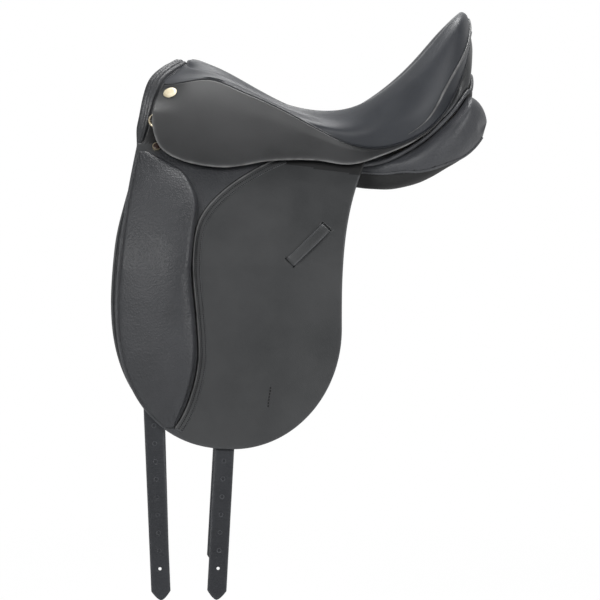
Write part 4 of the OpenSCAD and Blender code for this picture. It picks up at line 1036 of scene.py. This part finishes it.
BLOCK_H, BLOCK_TOP, BLOCK_LOW = 24.0, 41, -346
block_rear = curve([
    (-346, 81), (-308, 98), (-270, 109), (-233, 113), (-183, 109.5), (-134, 105.5), (-84, 109), (-36, 115),
    (-17, 111), (6, 99), (18, 86), (32, 62), (41, 42),
])
block_rise = curve([
    (0, 0.1), (0.12, 0.3), (0.3, 0.55), (0.5, 0.78), (0.7, 0.95), (0.86, 1), (0.94, 0.93), (0.975, 0.76),
    (1, 0.2),
])
block_end = curve([
    (-346, 0.1), (-325, 0.5), (-280, 0.9), (-220, 1), (-90, 1), (-40, 0.8), (0, 0.52), (25, 0.28), (41, 0.1),
])


def block_points(height):
    """Grid over the block: its foot on the flap (height 0) or its top (towards 1)."""
    c = spaced((0, 0.84, 22), (0.84, 1, 14))[:, None]
    z = np.linspace(BLOCK_TOP, BLOCK_LOW, 92)
    rise = height * (1 + BLOCK_H * block_rise(c) * block_end(z))
    x = lerp(flap_front_x(z) + 5, block_rear(z) - FLAP_FRONT, c)
    return xyz(x, side_y(z) + FLAP_T + 0.3 + rise, z)


top, low = block_points(0.9), block_points(0.0)
n, m = top.shape[:2]
points, faces = pad(top, low, True)
block = make("knee_block", points, faces, GRAINED)
foot = range(n * m, 2 * n * m)

STEPS = 20
CLOTH = {
    "quality": 5, "mass": 0.3, "tension_stiffness": 15, "compression_stiffness": 15, "shear_stiffness": 5,
    "bending_stiffness": 0.5, "use_pressure": True, "vertex_group_mass": "held",
}


def prepare(obj, held, pressure):
    """Sets up the cushion to swell under pressure; held points stay."""
    obj.vertex_groups.new(name="held").add(list(held), 1.0, "REPLACE")
    cloth = obj.modifiers.new("swell", "CLOTH")
    for key, value in CLOTH.items():
        setattr(cloth.settings, key, value)
    cloth.settings.uniform_pressure_force = pressure
    cloth.settings.effector_weights.gravity = 0
    cloth.point_cache.frame_start = 1
    cloth.point_cache.frame_end = STEPS


def coordinates(mesh):
    co = np.zeros(len(mesh.vertices) * 3)
    mesh.vertices.foreach_get("co", co)
    return co.reshape(-1, 3)


def settle(obj, cap):
    """Takes over the swollen shape, with no point moved further than cap in millimetres."""
    rest = coordinates(obj.data)
    graph = bpy.context.evaluated_depsgraph_get()
    moved = coordinates(obj.evaluated_get(graph).data) - rest
    far = np.linalg.norm(moved, axis=1, keepdims=True)
    rest = rest + moved * np.minimum(1, cap * MM / np.maximum(far, 1e-9))
    obj.modifiers.clear()
    obj.data.vertices.foreach_set("co", rest.reshape(-1))
    obj.data.update()


prepare(panel, crest, 4.0)
prepare(block, foot, 4.0)
scene.frame_start, scene.frame_end = 1, STEPS
for step in range(1, STEPS + 1):
    scene.frame_set(step)
settle(panel, 5.0)
settle(block, 4.0)
scene.frame_set(1)


def wrinkle(obj, scale, height, seed):
    """Moves the skin in and out by soft noise, as stuffed leather does."""
    mesh = obj.data
    shift = Vector((seed * 3.1, seed * 1.7, seed * 2.3))
    normals = [v.normal.copy() for v in mesh.vertices]
    for v, normal in zip(mesh.vertices, normals):
        wave = noise.noise(v.co * scale + shift) + 0.5 * noise.noise(v.co * scale * 2.2 + shift)
        v.co += normal * wave * height * MM
    mesh.update()


bm = bmesh.new()
bm.from_mesh(block.data)
bm.verts.ensure_lookup_table()
inner = [bm.verts[i * m + j] for i in range(2, n - 8) for j in range(4, m - 4)]
for step in range(12):
    bmesh.ops.smooth_vert(bm, verts=inner, factor=0.5, use_axis_x=True, use_axis_y=True, use_axis_z=True)
bm.to_mesh(block.data)
bm.free()
wrinkle(panel, 26.0, 0.9, 1)
wrinkle(block, 30.0, 0.35, 2)
for obj in (panel, block):
    finer = obj.modifiers.new("smooth", "SUBSURF")
    finer.levels = 1
    finer.render_levels = 1
    applied(obj)
for piece in both(panel, "{}_panel_cushion", "saddle", "filled_leather", "{}_panel"):
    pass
for piece in both(block, "{}_knee_pad", "{}_flap", "grained_leather", "{}_knee_block"):
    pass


# Welts of the panels, the cantle facing and the channel's lining

GUSSET_R, PANEL_WELT_R, FLANGE_T, FACING_T, LINING_T = 1.9, 3.1, 2.0, 2.5, 2.5
skin = BVHTree.FromPolygons([v.co.copy() for v in panel.data.vertices],
                            [tuple(p.vertices) for p in panel.data.polygons])


def on_skin(points, sink):
    """Points moved onto the panel's skin and a little into it, in millimetres."""
    found = []
    for p in points:
        at, normal, _, _ = skin.find_nearest(Vector(p) * MM)
        found.append(np.array(at - normal * sink * MM) / MM)
    return np.array(found)


u = np.linspace(0.5, 0.988, 110)
line = eased(on_skin(panel_skin(u, np.radians(gusset_angle(u))), 0.3), 8, 0.5)
# The welt is paled all along towards the leather's edge tone: a painted highlight along it.
gusset = tube_mesh("gusset_welt", line, GUSSET_R, GRAINED, 10, edge=0.6)
both(gusset, "{}_gusset_welt", "saddle", "grained_leather")

welt_angle = curve([(0.6, 30), (0.66, 38), (0.75, 56), (0.83, 66), (0.9, 76), (0.95, 104)])
TAIL_BRIDGE = np.array([PANEL_REAR - 18, 0, 152.0])


def tail_point(p):
    """The panel welt's line: along the panel's upper edge (0 to 12), then behind the cantle (to 17)."""
    u = lerp(0.61, 0.95, np.clip(p / 12, 0, 1))
    along = panel_skin(u, np.radians(welt_angle(u)), 3.2 + 2 * ramp((u - 0.89) / 0.05))
    last = panel_skin(np.array(0.95), np.radians(welt_angle(0.95)), 5.2)
    k = np.clip((p - 12) / 5, 0, 1)
    over = xyz(lerp(last[0], TAIL_BRIDGE[0], np.sin(np.pi / 2 * k)), last[1] * np.cos(np.pi / 2 * k),
               lerp(last[2], TAIL_BRIDGE[2], ramp(k)))
    return np.where((p <= 12)[..., None], along, over)


path = both_halves(tail_point(np.linspace(0, 17, 150)))
# The welt is paled all along towards the leather's edge tone: a painted highlight along it.
welt = tube_mesh("panel_welt", path, PANEL_WELT_R, GRAINED, 14, edge=0.4)
dressed(welt, "saddle", "grained_leather", "panel_welt")
upper = both_halves(tail_point(np.linspace(10.5, 17, 60))) + [-1.5, 0, 0]
grid = upper[:, None, :] + places(8, 40)[None, :, None] * np.array([2.0, 0, -15.0])
# The flange takes the near-black material: painted shade below the panel welt.
flange = leather_sheet("panel_welt_flange", grid, FLANGE_T, PAINTED_SHADE)
dressed(flange, "saddle", "grained_leather")

q = np.linspace(-1, 1, 121)
k = 1 - np.abs(q)
inward = -unit(xyz(0.4 + k, 1.05 * (1 - k), 0.0))
top = seam(lerp(0.885, 1, k)) + 2.6 * inward - xyz(0.0, 0.0, lerp(5, 1, k))
foot = tail_point(k * 9 + 8) + [-3, 0, 2.6]
r = places(20, 90)
bow = FACING_T / 2 - 5 * np.sin(np.pi * r)
grid = lerp(top[:, None, :], foot[:, None, :], r[None, :, None]) + bow[None, :, None] * inward[:, None, :]
grid[:, :, 1] *= -np.sign(q)[:, None]
facing = leather_sheet("cantle_facing", grid, FACING_T, SMOOTH)
dressed(facing, "saddle", "smooth_leather", "cantle_facing")

u = np.linspace(0.05, 0.93, 60)
edge = panel_at(u, -panel_half(u), 0.0) - [0, 2, LINING_T / 2]
k = np.linspace(-1, 1, 15)
grid = np.stack([xyz(edge[:, 0], e * edge[:, 1], edge[:, 2] + 2 * (1 - e * e)) for e in k], 1)
lining = leather_sheet("channel_lining_leather", grid, LINING_T, SMOOTH)
dressed(lining, "saddle", "smooth_leather", "channel_lining")


# Pommel facing: a padded roll with folds along the arch

ROLL_DEEP, ROLL_HIGH, FOLDS, ROLL_PIPING = 11, 7, 5, 1.5
facing_path = curve([
    (0, (-199.5, 0, 167.5)), (0.2, (-218, 26, 156)), (0.4, (-234, 45, 140)),
    (0.6, (-244, float(side_y(115)) - 11, 115)), (0.8, (-251, float(side_y(83)) - 8, 83)),
    (1, (-259, float(side_y(41)) - 8, 41)),
])
path = both_halves(facing_path(np.linspace(1, 0, 81)))
k = np.abs(np.linspace(1, -1, 161))
ahead = unit(np.gradient(path, axis=0))
out = unit(np.cross(ahead, [1, 0, -0.45]))
back = np.cross(out, ahead)
a = circle(84)
fold = 1 + 0.17 * (np.abs(np.cos(FOLDS * a + 0.4)) ** 0.6 - 0.6)
taper = 0.3 + 0.5 * ramp((1 - k) / 0.16) + 0.2 * ramp((0.8 - k) / 0.4)
section = (ROLL_DEEP * np.cos(a)[None, :, None] * back[:, None, :]
           + ROLL_HIGH * np.sin(a)[None, :, None] * out[:, None, :])
roll = path[:, None, :] + taper[:, None, None] * fold[None, :, None] * section
pommel = make("pommel_roll", roll, ring_faces(len(path), len(a), flip=True, caps=1), GRAINED)
bm = bmesh.new()
bm.from_mesh(pommel.data)
bmesh.ops.recalc_face_normals(bm, faces=bm.faces)
bm.to_mesh(pommel.data)
bm.free()
dressed(pommel, "saddle", "grained_leather", "pommel_facing")
edge = path + taper[:, None] * (10 * back + 3.2 * out)
# The piping is paled towards the pale edge tone: a painted highlight along the roll's rear edge.
piping = tube_mesh("pommel_piping", edge, ROLL_PIPING * taper, SHADED_LEATHER_PALE_EDGE, 10, edge=0.45)
dressed(piping, "saddle", "smooth_leather")


# Brown leather discs in the point screws

POINT_X, POINT_Z = -233.0, 47.0
centre = np.array([POINT_X, float(side_y(POINT_Z)) + FLAP_T + CLEAR, POINT_Z])
lift = flap_outward(centre)
up = unit(np.cross(lift, [1, 0, 0]))
turn = circle(32)[:, None]
rings = ((5.0, 2.2), (5.0, 2.7), (4.5, 3.0), (3.0, 3.3), (1.5, 3.45), (0.05, 3.5))
disc = np.stack([centre + h * lift + r * (np.cos(turn) * [1, 0, 0] + np.sin(turn) * up) for r, h in rings])
cap = make("off_screw_disc", disc, ring_faces(len(rings), len(turn)), BROWN)
for piece in (cap, other_side(cap, "near_screw_disc")):
    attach(piece, "saddle")


# Finish of the solids that stay

kept = {
    WOOD: ("tree_head", "near_tree_rail", "off_tree_rail", "tree_cantle"),
    STEEL: ("gullet_plate", "gullet_rivets", "near_stirrup_bar", "off_stirrup_bar", "bar_rivets",
            "catch_pins", "near_bar_catch", "off_bar_catch"),
    STUD: ("pommel_studs",),
    BRASS: ("point_screws", "near_dee", "off_dee"),
    SMOOTH: ("near_dee_chape", "off_dee_chape"),
    GRAINED: ("near_point_pocket", "off_point_pocket"),
}
for material, names in kept.items():
    for name in names:
        nodes[name].data.materials.clear()
        nodes[name].data.materials.append(material)


# Floor, light and camera

FLOOR_Z, FLOOR_HALF = -0.68, 40.0


def lit_backdrop(name, tint, seen):
    """Floor that is almost white to the camera and to reflections behind the saddle; it keeps the shadow."""
    s, place = new_material(name)
    rays = s.add("LightPath")
    split = s.add("SeparateXYZ", i0=place)
    shiny = s.math("MAXIMUM", rays["Is Glossy Ray"], rays["Is Transmission Ray"])
    mirror = s.math("MULTIPLY", shiny, s.span(split[1], -0.3, 0.6, 0.0, 1.0))
    direct = s.math("MAXIMUM", rays["Is Camera Ray"], mirror)
    light, dark = rgb(tint, tint, tint), rgb(tint * 0.985, tint * 0.985, tint * 0.985)
    tone = s.mix(s.span(s.noise(place, 0.8), 0.3, 0.7, 0.0, 1.0), light, dark)
    diffuse = s.add("BsdfDiffuse", Color=tone)[0]
    glow = s.add("Emission", Color=rgb(1, 1, 1), Strength=1.0)[0]
    far = s.add("VectorMath", {"operation": "LENGTH"}, i0=place)["Value"]
    share = s.math("MULTIPLY", direct, s.span(far, 0.5, 2.0, seen, 1.0))
    return s.close(s.add("MixShader", i0=share, i1=diffuse, i2=glow)[0])


floor_mesh = bpy.data.meshes.new("floor")
corners = [(x * FLOOR_HALF, y * FLOOR_HALF, FLOOR_Z) for x, y in ((-1, -1), (1, -1), (1, 1), (-1, 1))]
floor_mesh.from_pydata(corners, [], [(0, 1, 2, 3)])
floor_mesh.materials.append(lit_backdrop("floor", 0.9, 0.93))
floor = linked("floor", floor_mesh)

world = bpy.data.worlds.new("studio")
scene.world = world
s = Nodes(world)
rays = s.add("LightPath")
shiny = s.math("MAXIMUM", rays["Is Glossy Ray"], rays["Is Transmission Ray"])
way = s.add("SeparateXYZ", i0=s.add("TexCoord")["Generated"])
behind = s.span(way[1], 0.0, 0.5, 0.0, 0.85)
above = s.span(way[2], 0.9, 1.0, 0.08, 0.9)
front = s.span(s.math("ABSOLUTE", way[2]), 0.15, 0.6, 0.7, 0.08)
room = s.math("MAXIMUM", s.math("MAXIMUM", behind, above), front)
ambient = s.add("Background", Color=rgb(0.95, 0.98, 1.0), Strength=0.15)[0]
studio = s.add("Background", Color=rgb(1, 1, 1), Strength=room)[0]
white = s.add("Background", Color=rgb(1, 1, 1), Strength=1.0)[0]
lit = s.add("MixShader", i0=shiny, i1=ambient, i2=studio)[0]
s.close(s.add("MixShader", i0=rays["Is Camera Ray"], i1=lit, i2=white)[0], "OutputWorld")


def softbox(name, at, aim, size, power):
    light = bpy.data.lights.new(name, "AREA")
    light.shape = "RECTANGLE"
    light.size, light.size_y = size
    light.energy = power
    obj = linked(name, light)
    obj.location = at
    obj.rotation_euler = (Vector(aim) - Vector(at)).to_track_quat("-Z", "Y").to_euler()


softbox("key", (-2.0, -2.7, 1.5), (-0.05, 0, -0.1), (1.5, 1.4), 68)
softbox("fill", (2.3, -2.4, 1.2), (0, 0, -0.1), (1.3, 1.4), 58)
softbox("top", (0.4, 0.6, 2.45), (0.1, 0, 0.02), (1.4, 0.9), 68)
softbox("back", (-0.6, 3.0, 1.4), (0, 0, -0.1), (2.0, 1.4), 14)

CAMERA_AZ, CAMERA_EL, CAMERA_D = math.radians(-1.6), math.radians(2.0), 5.0
aim = Vector((-0.026, 0.0, -0.175))
level = math.cos(CAMERA_EL)
back = Vector((math.sin(CAMERA_AZ) * level, -math.cos(CAMERA_AZ) * level, math.sin(CAMERA_EL)))
camera = linked("camera", bpy.data.cameras.new("camera"))
camera.location = aim + CAMERA_D * back
camera.rotation_euler = (-back).to_track_quat("-Z", "Y").to_euler()
camera.data.sensor_width = 36.0
camera.data.lens = 205.5
camera.data.clip_end = 60.0
scene.camera = camera
scene.view_settings.view_transform = "Standard"
